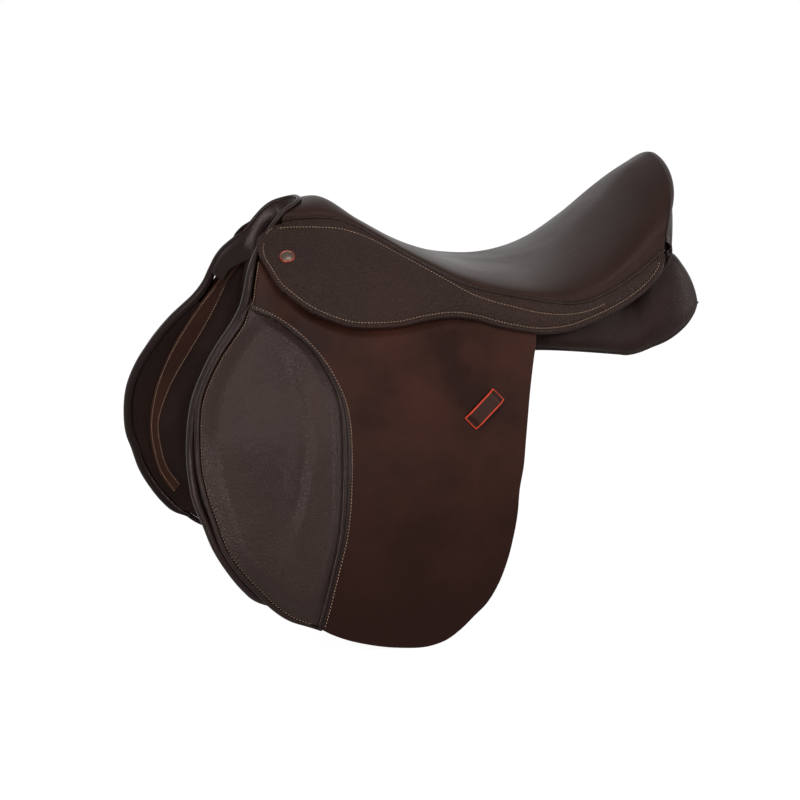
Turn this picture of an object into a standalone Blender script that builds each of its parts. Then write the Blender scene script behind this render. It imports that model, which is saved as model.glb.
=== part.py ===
"""English general-purpose saddle, as separate pieces at their real size.

Metres, +Z up, +X towards the cantle, +Y to the off (right) side, so the near (left) side is -Y.
The origin lies on the centre plane, under the seat's lowest stretch, at the level on which the
panel's bearing faces rest. Every side leather hangs on one curved surface, the drape.
"""
import math

import bmesh
import bpy
import numpy as np
from mathutils import Matrix, Vector

# Driving sizes of the drape that carries the side leathers
DRAPE_WIDTH = 0.206          # half width over the flaps at their lowest edge
DRAPE_FOOT = -0.266          # height at which the drape hangs straight down
DRAPE_HEAD = 0.125           # height at which the drops below are taken
DRAPE_DROP_FRONT = 0.140     # how far the drape has come in at that height, at the pommel
DRAPE_DROP_REAR = 0.0865     # and behind the waist
WAIST_FRONT = -0.168         # where the drape starts to widen behind the pommel
WAIST_REAR = 0.068           # and where it has its full rear width
EDGE_DROP = 0.010            # extra drop of the drape along its front edge
EDGE_START = (-0.190, -0.060)  # where that drop begins, going forward and going up
HEAD_DROP = 0.012            # further drop round the pommel's head
HEAD_START = (-0.155, 0.105)
DROP_REACH = (0.045, 0.060)  # over what distances forward and up both drops are reached
HEAD_RISE = 0.035

# Thicknesses and the clearances between pieces that touch
GAP = 0.0003
LAYER_GAP = 0.0009           # between the seat's curved layers
OVERRUN = 0.0040             # how far a cutter reaches past what it cuts
FLAP_LEATHER = 0.0040
SKIRT_LEATHER = 0.0034
SEAT_LEATHER = 0.0018
SWEAT_LEATHER = 0.0030
FOAM = 0.0106
WEBBING = 0.0014
STRAINED_WEBBING = 0.0033    # webbing and canvas together, strained under the seat
WEB_DEPTH = 0.0105           # how far the girth webs' outer face lies under the drape at the rails
WEB_LAP = 0.016              # how far the webs reach down behind the straps' tops
WEB_RISE = 0.0045            # above those tops they still lie in the straps' plane
TREE_WALL = 0.0080
FACING = 0.0020

# Seat: its side edge (the welt line, x and z on the drape) and its centre line
WELT_LINE = [(-0.1954, 0.1554), (-0.1763, 0.1584), (-0.1530, 0.1591), (-0.1297, 0.1543),
             (-0.1035, 0.1414), (-0.0783, 0.1248), (-0.0526, 0.1101), (-0.0285, 0.0967),
             (0.0139, 0.0838), (0.0558, 0.0756), (0.0890, 0.0705), (0.1336, 0.0800), (0.1734, 0.0995),
             (0.2033, 0.1197)]
SEAT_RIDGE = [(-0.170, 0.1735), (-0.150, 0.1757), (-0.110, 0.1527), (-0.070, 0.1299), (-0.030, 0.1123),
              (0.020, 0.0985), (0.060, 0.0963), (0.100, 0.1053), (0.140, 0.1250), (0.180, 0.1605),
              (0.215, 0.1965), (0.238, 0.2110)]
POMMEL_SET_BACK = 0.029      # the middle of the pommel stands this far behind its corners
CANTLE_SET_BACK = 0.032      # the middle of the cantle stands this far behind its corners
SEAT_SIDE_SHARE = 0.8        # share of a layer's depth by which its side edge stands in
SEAT_EDGE_SHARE = 0.6        # and by which that edge stands lower
SEAT_ROWS = 21               # points along each layer of the seat
SEAT_COLUMNS = 11            # and across it
WEBBING_SPAN = (13, 18, 2)   # rows between which the rear webbing lies, and its inset in columns
WAIST_FULLNESS = 2.2         # exponent of the seat's section at the waist
CANTLE_FULLNESS = 1.6        # and at the cantle, where it is more pointed

# Welts, rolls and edges
WELT_RADIUS = 0.0022
POMMEL_ROLL_RADIUS = 0.0036
POMMEL_ROLL_DROP = 0.0010    # its centre below the seat's front edge
FACING_DROP = 0.0050         # and the facing's upper edge
FACING_WIDTH = 0.024
FACING_INSET = 3             # points of the roll's path on each side that the facing stops short of
POMMEL_SIDE = [(-0.2527, 0.0690), (-0.2485, 0.0780), (-0.2470, 0.0903), (-0.2347, 0.1167),
               (-0.2226, 0.1329), (-0.2096, 0.1465)]
SWEAT_ROLL_RADIUS = 0.0050
FLAP_PIPING_RADIUS = 0.0024
CANTLE_BEAD_RADIUS = 0.0030
CANTLE_FOOT = (0.2085, 0.1150)   # x of the cantle facing's foot at its corners, and its greatest height
CANTLE_FOOT_ROUND = 0.0120   # how far the foot's middle stands behind its corners
CANTLE_FOOT_SHARE = 0.93     # the foot's width, of the rim's
CANTLE_FOOT_FALL = 0.0040    # the foot is at least this far under the rim
CANTLE_BULGE = 0.0060
CANTLE_STAND = 0.0008        # between the seat's rear edge and the facing

# Skirt: its lower edge, and the line on which its loose lobe bends up
SKIRT_CORNER = (-0.2196, 0.1364)
SKIRT_LOWER = [(-0.2240, 0.1080), (-0.2176, 0.0940), (-0.1960, 0.0742), (-0.1452, 0.0518),
               (-0.0919, 0.0513), (-0.0353, 0.0588), (-0.0160, 0.0560), (0.0235, 0.0452),
               (0.0644, 0.0405), (0.1084, 0.0484), (0.1554, 0.0663), (0.1996, 0.0999)]
SKIRT_BEND = [(-0.2269, 0.1144), (-0.0340, 0.0600)]
SKIRT_LIFT_ROOM = 0.0064     # the skirt stands this far off the flap over the stirrup bar
SKIRT_NOSE_ROOM = 0.0030     # and this far where the drape turns in round the pommel
SKIRT_ROOM_PLACE = (-0.112, 0.080)   # middle of the swell over the stirrup bar
SKIRT_ROOM_REACH = (0.110, 0.052)    # and how far it reaches along and up

# Flap: outline below its bend line, and the bend line itself
FLAP_BEND = [(-0.2612, 0.0560), (0.0478, 0.0340)]
FLAP_FRONT = [(-0.2612, 0.0560), (-0.2957, 0.0142), (-0.3075, -0.0083), (-0.3156, -0.0384),
              (-0.3185, -0.0755), (-0.3098, -0.1238), (-0.2869, -0.1735), (-0.2548, -0.2116)]
FLAP_FOOT = [(-0.2548, -0.2116), (-0.2167, -0.2409), (-0.1569, -0.2663), (-0.1199, -0.2731),
             (-0.0871, -0.2740), (-0.0607, -0.2634), (-0.0296, -0.2402)]
FLAP_REAR = [(0.0478, 0.0340), (0.0425, 0.0164), (0.0302, -0.0439), (0.0222, -0.0926),
             (0.0163, -0.1171), (0.0074, -0.1665), (-0.0116, -0.2159), (-0.0296, -0.2402)]
HEAD_INSET = 0.0048          # the flap head's front edge stands this far behind the pommel's line
HEAD_TUCK = 0.0065           # and its upper edge this far under the welt line
HEAD_REAR = (0.0470, 0.0705)
FLAP_HEAD_FRONT = [(x + HEAD_INSET, z) for x, z in POMMEL_SIDE[4::-1]] + FLAP_BEND[:1]

# Knee pad on the flap: its rear border, its front border stands inside the flap's edge
PAD_REAR = [(-0.2070, 0.0539), (-0.1929, 0.0382), (-0.1698, 0.0062), (-0.1630, -0.0350),
            (-0.1651, -0.0955), (-0.1788, -0.1604), (-0.1940, -0.2170), (-0.2013, -0.2402)]
PAD_INSET = 0.0085           # from the flap's front edge to the pad's
PAD_FULLNESS = 0.0125        # how far the pad stands off the flap at its fullest
PAD_EDGE = 0.0026            # and at its sewn edge
PAD_GAP = 0.0012             # between the curved faces of pad and flap
PAD_BEND_HEIGHT = 0.0062     # the pad's height at the flap's bend line
PAD_BEND_DROP = 0.0012       # its upper edge lies this far under that line
PAD_FRONT_SETBACK = 0.0050   # and starts this far behind the flap's edge there
PAD_FRONT_START = 0.0080     # the front border begins this far under the line's front end
PAD_HEAD_GAP = 0.0024        # between the pad and its head above the line
PAD_HEAD_FRONT = [(-0.2560, 0.0830), (-0.2655, 0.0700)]
PAD_HEAD_REAR = [(-0.2400, 0.0800), (-0.2290, 0.0690)]
BEND_ROOM = 0.0065           # the flap's bend line stands this far off the drape

# Sweat flap: front edge, foot and rear edge; its depth under the drape
SWEAT_HEAD = [(-0.2636, 0.0505), (-0.1600, 0.0440), (0.0410, 0.0250)]
SWEAT_FRONT = [(-0.2636, 0.0505), (-0.2796, 0.0348), (-0.2974, 0.0114), (-0.3086, -0.0110),
               (-0.3166, -0.0339), (-0.3220, -0.0801), (-0.3130, -0.1268), (-0.2907, -0.1751),
               (-0.2616, -0.2107)]
SWEAT_FOOT = [(-0.2616, -0.2107), (-0.2000, -0.2310), (-0.1100, -0.2300), (-0.0400, -0.2050)]
SWEAT_REAR = [(0.0410, 0.0250), (0.0360, -0.0600), (0.0090, -0.1500), (-0.0400, -0.2050)]
SWEAT_DEPTH_FRONT = 0.0096
SWEAT_BLEND = (-0.208, -0.128)   # where its depth starts to grow, and where it is inside the straps
SWEAT_ROOM = 0.0022          # between the guard and the sweat flap

# Girth straps: three flat straps in one plane between the flap and the sweat flap
STRAP_WIDTH = 0.028
STRAP_PITCH = 0.032
STRAP_MIDDLE_X = -0.034
STRAP_TOP = 0.047
STRAP_END = -0.165
STRAP_THICK = 0.0046
STRAP_DEPTH = 0.0090         # the least distance from the drape to the straps' outer face
STRAP_TIP = 0.0140           # length of the pointed end
STRAP_NOSE = 0.0030          # and of its blunt nose
STRAP_NOSE_SHARE = 0.55      # the nose's share of the strap's width
SWING_DROP = 0.0060          # the straps swing about a point this far under their tops
HOLE_START = 0.035           # from the strap's end to its first hole
HOLE_RADIUS = 0.0025
HOLE_PITCH = 0.025
HOLES = 5
GUARD_HEIGHT = 0.070
GUARD_TOP = 0.010
GUARD_WALL = 0.0018
GUARD_ROOM = 0.0005
GUARD_MARGIN = 0.0028

# Stirrup bar, recessed through a window in the flap's head
BAR_FRONT = -0.160
BAR_REAR = -0.084
BAR_HEIGHT = 0.0120
BAR_THICK = 0.0045
BAR_SLOT = 0.0070
BAR_PLATE = 0.0025
BAR_PLATE_HEIGHT = 0.0180
BAR_Z = 0.0750
BAR_PROUD = 0.0012           # the bar's outer face beyond the drape
NECK_STEP = 0.00024          # the neck is this much lower than the bar, above and below
NECK_SINK = 0.0010           # and starts this far inside the bar's outer face
CATCH_LENGTH = 0.0200
CATCH_THICK = 0.0022
PIN_RADIUS = 0.0011
PIN_COVER = 0.0012           # steel left over the catch at the bar's top
CATCH_SETBACK = 0.0060       # the pin stands this far inside the bar's rear end
CATCH_HEIGHT = 0.0044
CATCH_TAIL = 0.0030          # the catch reaches this far in front of its pin
CATCH_THUMB = 0.0070         # length of its raised thumb piece
CATCH_CREST = 0.0018         # and how far it stands above the tongue
FORK_ROOM = 0.0004
WINDOW_MARGIN = 0.0060
WINDOW_DEPTH = 0.060
CATCH_ROOM = 0.0110          # extra height of the window over the turned catch

# Saddle nail, keeper
NAIL_PLACE = (-0.2008, 0.1209)
NAIL_HEAD_RADIUS = 0.0078
NAIL_DOME = 0.0031           # height of the head's crown over the skirt
NAIL_UNDERSIDE = 0.0008      # the head's underside stands this far off the skirt
NAIL_PROFILE = [(0.0, 0.45), (0.0, 1.0), (0.315, 0.93), (0.85, 0.62), (1.0, 0.2)]
KEEPER_FRONT = (-0.0318, -0.0466)
KEEPER_REAR = (-0.0003, -0.0190)
KEEPER_WIDTH = 0.0160
KEEPER_LEATHER = 0.0020
KEEPER_ROOM = 0.0055
KEEPER_SEWN = 0.0070         # length of each sewn end
KEEPER_RAMP = 0.0030         # over this length the leather climbs from it to the top
KEEPER_TURN = 0.0018         # the leather's thickness along those climbs

# Tree
TREE_POINT_FOOT = 0.0560
POINT_REAR = (-0.100, -0.055)   # between these the tree's foot climbs from its points to its rails
TREE_SIDE_DEPTH = 0.0146     # under the drape, where the stirrup bar is riveted on
TREE_RAIL_FALL = 0.0160      # how far the rails hang below the welt line
TREE_SLOT_HALF = 0.0420
TREE_SLOT_FRONT = -0.125
TREE_SLOT_REAR = 0.150

# Panel cushions: at each station the four corners (half width, height) of the section, from the
# gullet's top round by the outside. No outer half width: out to the tree or to the sweat flap
PANEL_STATIONS = [
    (-0.214, (0.034, 0.110), (None, 0.112), (None, 0.046), (0.054, 0.036)),
    (-0.190, (0.033, 0.117), (None, 0.118), (None, 0.033), (0.056, 0.021)),
    (-0.140, (0.034, 0.106), (None, 0.109), (None, 0.028), (0.058, 0.010)),
    (-0.070, (0.034, 0.078), (None, 0.080), (None, 0.026), (0.054, 0.002)),
    (0.020, (0.034, 0.056), (None, 0.058), (None, 0.021), (0.050, 0.000)),
    (0.100, (0.034, 0.059), (0.1267, 0.0556), (0.144, 0.015), (0.046, 0.006)),
    (0.160, (0.034, 0.072), (0.110, 0.072), (0.136, 0.006), (0.044, 0.014)),
    (0.208, (0.036, 0.100), (0.098, 0.104), (0.124, 0.013), (0.044, 0.030)),
    (0.236, (0.040, 0.104), (0.092, 0.104), (0.116, 0.029), (0.046, 0.041)),
    (0.249, (0.050, 0.090), (0.086, 0.090), (0.104, 0.044), (0.054, 0.054)),
]
PANEL_CLEARANCE = 0.0020     # to the tree
SWEAT_CLEARANCE = 0.0028     # to the sweat flap
# Knee part of the panel, on the inner face of the sweat flap: last row and column it reaches there
KNEE_ROWS = 8
KNEE_COLUMNS = 7
KNEE_THICK = 0.0090
PANEL_FULLNESS = 3.6
GULLET_STRIP = 0.0025
RUNWAY_GAP = 0.0004

# Colours: brown leathers, steel, webbing
BROWN = (0.040, 0.022, 0.017)
DARK = (0.020, 0.012, 0.010)
GREY_BROWN = (0.042, 0.030, 0.028)
COPPER = (0.24, 0.075, 0.045)
STEEL = (0.45, 0.45, 0.45)
CANVAS = (0.42, 0.38, 0.30)
FOAM_GREY = (0.30, 0.29, 0.27)
TREE_BLACK = (0.025, 0.025, 0.026)


def smooth(value):
    """Ease from 0 to 1."""
    value = np.clip(value, 0.0, 1.0)
    return value * value * (3.0 - 2.0 * value)


def drape(x, z):
    """Half width of the drape: a parabola in height, drawn in further round the pommel's front."""
    rise = (z - DRAPE_FOOT) / (DRAPE_HEAD - DRAPE_FOOT)
    back = smooth((x - WAIST_FRONT) / (WAIST_REAR - WAIST_FRONT))
    drop = DRAPE_DROP_FRONT + (DRAPE_DROP_REAR - DRAPE_DROP_FRONT) * back
    ahead = smooth((EDGE_START[0] - x) / DROP_REACH[0])
    edge = EDGE_DROP * ahead * smooth((z - EDGE_START[1]) / DROP_REACH[1])
    ahead = smooth((HEAD_START[0] - x) / DROP_REACH[0])
    head = HEAD_DROP * ahead * smooth((z - HEAD_START[1]) / HEAD_RISE)
    return DRAPE_WIDTH - drop * rise * rise - edge - head


def curve(points, count):
    """A smooth cubic through the points, at even steps of its chord length."""
    points = np.array(points, float)
    steps = np.linalg.norm(np.diff(points, axis=0), axis=1)
    knots = np.concatenate([[0.0], np.cumsum(steps)])
    if len(points) == 2:
        return points[0] + np.linspace(0.0, 1.0, count)[:, None] * (points[1] - points[0])
    slopes = np.gradient(points, knots, axis=0)
    at = np.linspace(0.0, knots[-1], count)
    i = np.clip(np.searchsorted(knots, at, side="right") - 1, 0, len(steps) - 1)
    h = steps[i][:, None]
    t = ((at - knots[i]) / steps[i])[:, None]
    return ((2 * t**3 - 3 * t**2 + 1) * points[i] + (t**3 - 2 * t**2 + t) * h * slopes[i]
            + (3 * t**2 - 2 * t**3) * points[i + 1] + (t**3 - t**2) * h * slopes[i + 1])


def patch(top, bottom, front, rear):
    """Coons patch: blends its four edge curves; rows run down, columns run back."""
    u = np.linspace(0.0, 1.0, len(top))[None, :, None]
    v = np.linspace(0.0, 1.0, len(front))[:, None, None]
    rows = (1 - v) * top[None] + v * bottom[None]
    columns = (1 - u) * front[:, None] + u * rear[:, None]
    corners = ((1 - u) * (1 - v) * top[0] + u * (1 - v) * top[-1]
               + (1 - u) * v * bottom[0] + u * v * bottom[-1])
    return rows + columns - corners


def hung(grid, offset=0.0):
    """Near-side points of a grid of (x, z), laid on the drape and moved outward by the offset."""
    x, z = grid[..., 0], grid[..., 1]
    return np.stack([x, -(drape(x, z) + offset), z], axis=-1)


def material(name, colour, roughness, metallic=0.0):
    """A plain Principled material."""
    made = bpy.data.materials.get(name)
    if made is None:
        made = bpy.data.materials.new(name)
        made.use_nodes = True
        shader = made.node_tree.nodes["Principled BSDF"]
        shader.inputs["Base Color"].default_value = (*colour, 1.0)
        shader.inputs["Roughness"].default_value = roughness
        shader.inputs["Metallic"].default_value = metallic
    return made


def body(name, vertices, faces, finish, bend=35.0):
    """One closed mesh object with its faces pointing outward."""
    mesh = bpy.data.meshes.new(name)
    mesh.from_pydata([tuple(map(float, v)) for v in vertices], [], faces)
    work = bmesh.new()
    work.from_mesh(mesh)
    bmesh.ops.recalc_face_normals(work, faces=work.faces)
    if work.calc_volume(signed=True) < 0:
        bmesh.ops.reverse_faces(work, faces=work.faces)
    work.to_mesh(mesh)
    work.free()
    mesh.shade_smooth()
    mesh.set_sharp_from_angle(angle=math.radians(bend))
    mesh.materials.append(finish)
    made = bpy.data.objects.new(name, mesh)
    bpy.context.scene.collection.objects.link(made)
    return made


def slab(name, outer, inner, finish):
    """A sheet of leather: two grids of points joined round their edges."""
    rows, columns = outer.shape[:2]
    vertices = np.concatenate([outer.reshape(-1, 3), inner.reshape(-1, 3)])
    half = rows * columns
    faces = []
    for i in range(rows - 1):
        for j in range(columns - 1):
            a = i * columns + j
            quad = (a, a + 1, a + columns + 1, a + columns)
            faces.append(quad)
            faces.append((half + a, half + a + columns, half + a + columns + 1, half + a + 1))
    rim = list(range(columns))
    rim += [i * columns + columns - 1 for i in range(1, rows)]
    rim += [(rows - 1) * columns + j for j in range(columns - 2, -1, -1)]
    rim += [i * columns for i in range(rows - 2, 0, -1)]
    for a, b in zip(rim, rim[1:] + rim[:1]):
        faces.append((b, a, half + a, half + b))
    return body(name, vertices, faces, finish)


def loft(name, rings, finish, bend=35.0):
    """A closed solid through rings of equally many points, with flat ends."""
    rings = np.array(rings)
    count, around = rings.shape[:2]
    faces = [tuple(range(around)), tuple((count - 1) * around + k for k in reversed(range(around)))]
    for i in range(count - 1):
        for k in range(around):
            n = (k + 1) % around
            faces.append((i * around + k, (i + 1) * around + k, (i + 1) * around + n, i * around + n))
    return body(name, rings.reshape(-1, 3), faces, finish, bend)


def tube(name, path, radius, finish, sides=6):
    """A cord of round section along a path of points."""
    path = np.array(path, float)
    along = np.gradient(path, axis=0)
    along /= np.linalg.norm(along, axis=1)[:, None]
    side = np.cross(along, (0.0, 0.0, 1.0))
    flat = np.linalg.norm(side, axis=1) < 0.25
    side[flat] = np.cross(along[flat], (1.0, 0.0, 0.0))
    side /= np.linalg.norm(side, axis=1)[:, None]
    up = np.cross(side, along)
    turn = np.linspace(0.0, 2 * math.pi, sides, endpoint=False)
    rings = (path[:, None] + radius * (np.cos(turn)[None, :, None] * side[:, None]
                                       + np.sin(turn)[None, :, None] * up[:, None]))
    return loft(name, rings, finish, bend=70.0)


def box(name, centre, size, axes, finish):
    """A block of the given size, set on three axes."""
    centre = Vector(centre)
    vertices = []
    for sx, sy, sz in ((-1, -1, -1), (1, -1, -1), (1, 1, -1), (-1, 1, -1),
                       (-1, -1, 1), (1, -1, 1), (1, 1, 1), (-1, 1, 1)):
        corner = centre + Vector(axes[0]) * (sx * size[0] / 2) + Vector(axes[1]) * (sy * size[1] / 2)
        vertices.append(corner + Vector(axes[2]) * (sz * size[2] / 2))
    faces = [(0, 3, 2, 1), (4, 5, 6, 7), (0, 1, 5, 4), (1, 2, 6, 5), (2, 3, 7, 6), (3, 0, 4, 7)]
    return body(name, vertices, faces, finish)


def rod(name, start, end, radius, finish, sides=8):
    """A straight round bar between two points."""
    start, end = Vector(start), Vector(end)
    along = (end - start).normalized()
    side = along.orthogonal().normalized()
    up = along.cross(side)
    rings = []
    for place in (start, end):
        rings.append([place + radius * (math.cos(a) * side + math.sin(a) * up)
                      for a in np.linspace(0.0, 2 * math.pi, sides, endpoint=False)])
    return loft(name, rings, finish, bend=40.0)


def combine(target, tools, operation):
    """Cut the tools from the target or join them to it, exactly, and keep the result as its mesh."""
    for tool in tools:
        step = target.modifiers.new(operation.lower(), "BOOLEAN")
        step.operation = operation
        step.solver = "EXACT"
        step.object = tool
    bpy.context.view_layer.update()
    result = bpy.data.meshes.new_from_object(target.evaluated_get(bpy.context.evaluated_depsgraph_get()))
    target.modifiers.clear()
    old = target.data
    target.data = result
    bpy.data.meshes.remove(old)
    for tool in tools:
        bpy.data.objects.remove(tool, do_unlink=True)
    return target


def pair(near, pivot=None):
    """Mirror a near-side object into its off-side twin, and set both on their pivots."""
    name = near.name
    near.name = name + "_near"
    mesh = near.data.copy()
    mesh.transform(Matrix.Scale(-1.0, 4, (0.0, 1.0, 0.0)))
    mesh.flip_normals()
    off = bpy.data.objects.new(name + "_off", mesh)
    bpy.context.scene.collection.objects.link(off)
    if pivot is not None:
        place = Vector(pivot)
        set_origin(near, place)
        set_origin(off, Vector((place.x, -place.y, place.z)))
    return near, off


def set_origin(item, place):
    """Move an object's origin, leaving its surface where it is."""
    item.data.transform(Matrix.Translation(-place))
    item.location = place


def clear_scene():
    """Start from nothing."""
    for item in list(bpy.data.objects):
        bpy.data.objects.remove(item, do_unlink=True)


def welt_line(count):
    """The seat's side edge, as (x, z)."""
    return curve(WELT_LINE, count)


def seat_surface(count, across, depth, start=0.0, end=1.0, wide=1.0):
    """Grid on the seat, the given depth under its leather; rows run from pommel to cantle."""
    edge = welt_line(161)
    at = np.linspace(start, end, count) * 160
    edge_x = np.interp(at, np.arange(161), edge[:, 0])[:, None]
    edge_z = np.interp(at, np.arange(161), edge[:, 1])[:, None]
    along = (at / 160)[:, None]
    half = drape(edge_x, edge_z) - SEAT_SIDE_SHARE * depth
    centre_x = (edge_x + POMMEL_SET_BACK * (1 - smooth(along / 0.2))
                + CANTLE_SET_BACK * smooth((along - 0.6) / 0.4))
    ridge = curve(SEAT_RIDGE, 161)
    centre_z = np.interp(centre_x, ridge[:, 0], ridge[:, 1]) - depth
    low = edge_z - SEAT_EDGE_SHARE * depth
    t = wide * np.sin(np.linspace(-math.pi / 2, math.pi / 2, across))[None, :]
    fullness = WAIST_FULLNESS + (CANTLE_FULLNESS - WAIST_FULLNESS) * smooth((along - 0.55) / 0.45)
    shape = np.clip(1 - np.abs(t) ** fullness, 0, 1) ** (1 / fullness)
    x = centre_x + (edge_x - centre_x) * np.abs(t) ** 3
    z = low + (centre_z - low) * shape
    return np.stack([x, half * t + 0 * x, z], axis=-1)


def make_tree():
    """Moulded tree: head, points, rails and cantle in one wall, open between the rails."""
    finish = material("tree_laminate", TREE_BLACK, 0.6)
    grids = []
    step = 1 / (SEAT_ROWS - 1)
    top = SEAT_LEATHER + FOAM + WEBBING + 5 * LAYER_GAP
    for depth, side in ((top, TREE_SIDE_DEPTH), (top + TREE_WALL, TREE_SIDE_DEPTH + TREE_WALL)):
        crown = seat_surface(SEAT_ROWS - 3, SEAT_COLUMNS, depth, start=2 * step, end=1 - step)
        edge_x = crown[:, -1, 0]
        edge_z = crown[:, -1, 2]
        rail_foot = edge_z + SEAT_SIDE_SHARE * SEAT_EDGE_SHARE * depth - TREE_RAIL_FALL
        point_foot = TREE_POINT_FOOT + 0 * edge_x
        back = smooth((edge_x - POINT_REAR[0]) / (POINT_REAR[1] - POINT_REAR[0]))
        foot = point_foot + (np.minimum(rail_foot, edge_z - 0.008) - point_foot) * back
        skirts = []
        for share in (0.5, 1.0):
            z = edge_z + (foot - edge_z) * share
            wide = drape(edge_x, z) - side
            skirts.append(np.stack([edge_x, wide, z], axis=-1))
        off = np.stack(skirts, axis=1)
        near = off[:, ::-1] * np.array([1.0, -1.0, 1.0])
        grids.append(np.concatenate([near, crown, off], axis=1))
    tree = slab("tree", grids[0], grids[1], finish)
    ring = []
    for angle in np.linspace(0.0, 2 * math.pi, 24, endpoint=False):
        cosine, sine = math.cos(angle), math.sin(angle)
        middle = (TREE_SLOT_FRONT + TREE_SLOT_REAR) / 2
        reach = (TREE_SLOT_REAR - TREE_SLOT_FRONT) / 2
        ring.append((middle + reach * math.copysign(abs(cosine) ** 0.5, cosine),
                     TREE_SLOT_HALF * math.copysign(abs(sine) ** 0.8, sine)))
    rings = [[(x, y, z) for x, y in ring] for z in (0.0, 0.30)]
    return combine(tree, [loft("slot", rings, finish)], "DIFFERENCE")


def make_seat():
    """Seat leather, the foam under it, and the strained webbing on the tree."""
    leather = material("seat_leather", BROWN, 0.45)
    outer = seat_surface(SEAT_ROWS, SEAT_COLUMNS, 0.0)
    slab("seat_leather", outer, seat_surface(SEAT_ROWS, SEAT_COLUMNS, SEAT_LEATHER), leather)
    depth = SEAT_LEATHER + LAYER_GAP
    step = 1 / (SEAT_ROWS - 1)
    top = seat_surface(SEAT_ROWS - 2, SEAT_COLUMNS, depth, start=step, end=1 - step)
    base = seat_surface(SEAT_ROWS - 2, SEAT_COLUMNS, depth + FOAM, start=step, end=1 - step)
    slab("seat_foam", top, base, material("foam", FOAM_GREY, 0.9))
    depth = SEAT_LEATHER + FOAM + 2 * LAYER_GAP
    first, last, inset = WEBBING_SPAN
    top, base = [seat_surface(last - first + 1, SEAT_COLUMNS, under, start=first * step, end=last * step)
                 for under in (depth, depth + STRAINED_WEBBING)]
    slab("seat_webbing", top[:, inset:-inset], base[:, inset:-inset], material("webbing", CANVAS, 0.9))


def make_girth_webs():
    """Webs laid over the tree, whose ends carry the girth straps on both sides."""
    finish = material("webbing", CANVAS, 0.9)
    half = STRAP_WIDTH / 2
    spans = {"girth_web_front": (STRAP_MIDDLE_X - STRAP_PITCH - half, STRAP_MIDDLE_X + half),
             "girth_web_rear": (STRAP_MIDDLE_X + STRAP_PITCH - half, STRAP_MIDDLE_X + STRAP_PITCH + half)}
    edge = welt_line(161)
    for name, (first, last) in spans.items():
        grids = []
        for depth, side in ((0.0, 0.0), (WEBBING, WEBBING)):
            lines = []
            for x in np.linspace(first, last, 5):
                share = float(np.interp(x, edge[:, 0], np.linspace(0.0, 1.0, 161)))
                under = SEAT_LEATHER + FOAM + 2 * LAYER_GAP + depth
                line = seat_surface(2, SEAT_COLUMNS, under, start=share, end=share + 0.001)[0]
                lip = line[-1, 2]
                place = line[-1, 0]
                rail = max(STRAP_TOP + 3 * WEB_RISE, lip - 2 * WEB_LAP)
                off = [(place, float(drape(place, z)) - WEB_DEPTH - side, z)
                       for z in (lip - 0.12 * (lip - rail), rail)]
                off += [(place, float(strap_width(place, z)) - STRAP_THICK - 2 * GAP - side, z)
                        for z in (STRAP_TOP + WEB_RISE, STRAP_TOP - WEB_LAP)]
                off = np.array(off)
                near = off[::-1] * np.array([1.0, -1.0, 1.0])
                lines.append(np.concatenate([near, line, off]))
            grids.append(np.array(lines))
        slab(name, grids[0], grids[1], finish)


def strap_plane():
    """The straps' plane, as the half width at their middle and its slopes along x and z.

    It is the level plane through the drape over the straps' field, moved in until the whole
    field lies at least the straps' depth inside the drape.
    """
    side = STRAP_PITCH + STRAP_WIDTH / 2 + GUARD_MARGIN
    x, z = np.meshgrid(STRAP_MIDDLE_X + np.linspace(-side, side, 7), np.linspace(STRAP_END, STRAP_TOP, 9))
    level = drape(x, z) - STRAP_DEPTH
    terms = np.stack([np.ones(x.size), x.ravel() - STRAP_MIDDLE_X, z.ravel()], axis=-1)
    fit = np.linalg.lstsq(terms, level.ravel(), rcond=None)[0]
    fit[0] += float(np.min(level.ravel() - terms @ fit))
    return fit


def strap_width(x, z):
    """Half width of the straps' outer face at a place."""
    base, along, up = strap_plane()
    return base + along * (x - STRAP_MIDDLE_X) + up * z


def sweat_depth(x, z):
    """How far the sweat flap's outer face lies under the drape: inside the straps and their guard."""
    stack = STRAP_THICK + GUARD_WALL + 2 * GUARD_ROOM + SWEAT_ROOM
    under = np.maximum(drape(x, z) - strap_width(x, z) + stack, SWEAT_DEPTH_FRONT)
    back = smooth((x - SWEAT_BLEND[0]) / (SWEAT_BLEND[1] - SWEAT_BLEND[0]))
    return SWEAT_DEPTH_FRONT + (under - SWEAT_DEPTH_FRONT) * back


def sweat_grid():
    """The sweat flap's outline as a grid of (x, z)."""
    return patch(curve(SWEAT_HEAD, 11), curve(SWEAT_FOOT, 11), curve(SWEAT_FRONT, 10), curve(SWEAT_REAR, 10))


def make_sweat_flap():
    """Sweat flap under the straps, and the roll sewn round its front edge."""
    leather = material("sweat_leather", DARK, 0.5)
    grid = sweat_grid()
    depth = sweat_depth(grid[..., 0], grid[..., 1])
    pair(slab("sweat_flap", hung(grid, -depth), hung(grid, -depth - SWEAT_LEATHER), leather))
    path = curve(SWEAT_FRONT, 16)
    path = beside(path, SWEAT_ROLL_RADIUS + GAP)
    middle = hung(path, -SWEAT_DEPTH_FRONT - SWEAT_LEATHER / 2)
    pair(tube("sweat_flap_roll", middle, SWEAT_ROLL_RADIUS, leather, sides=7))


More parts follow.
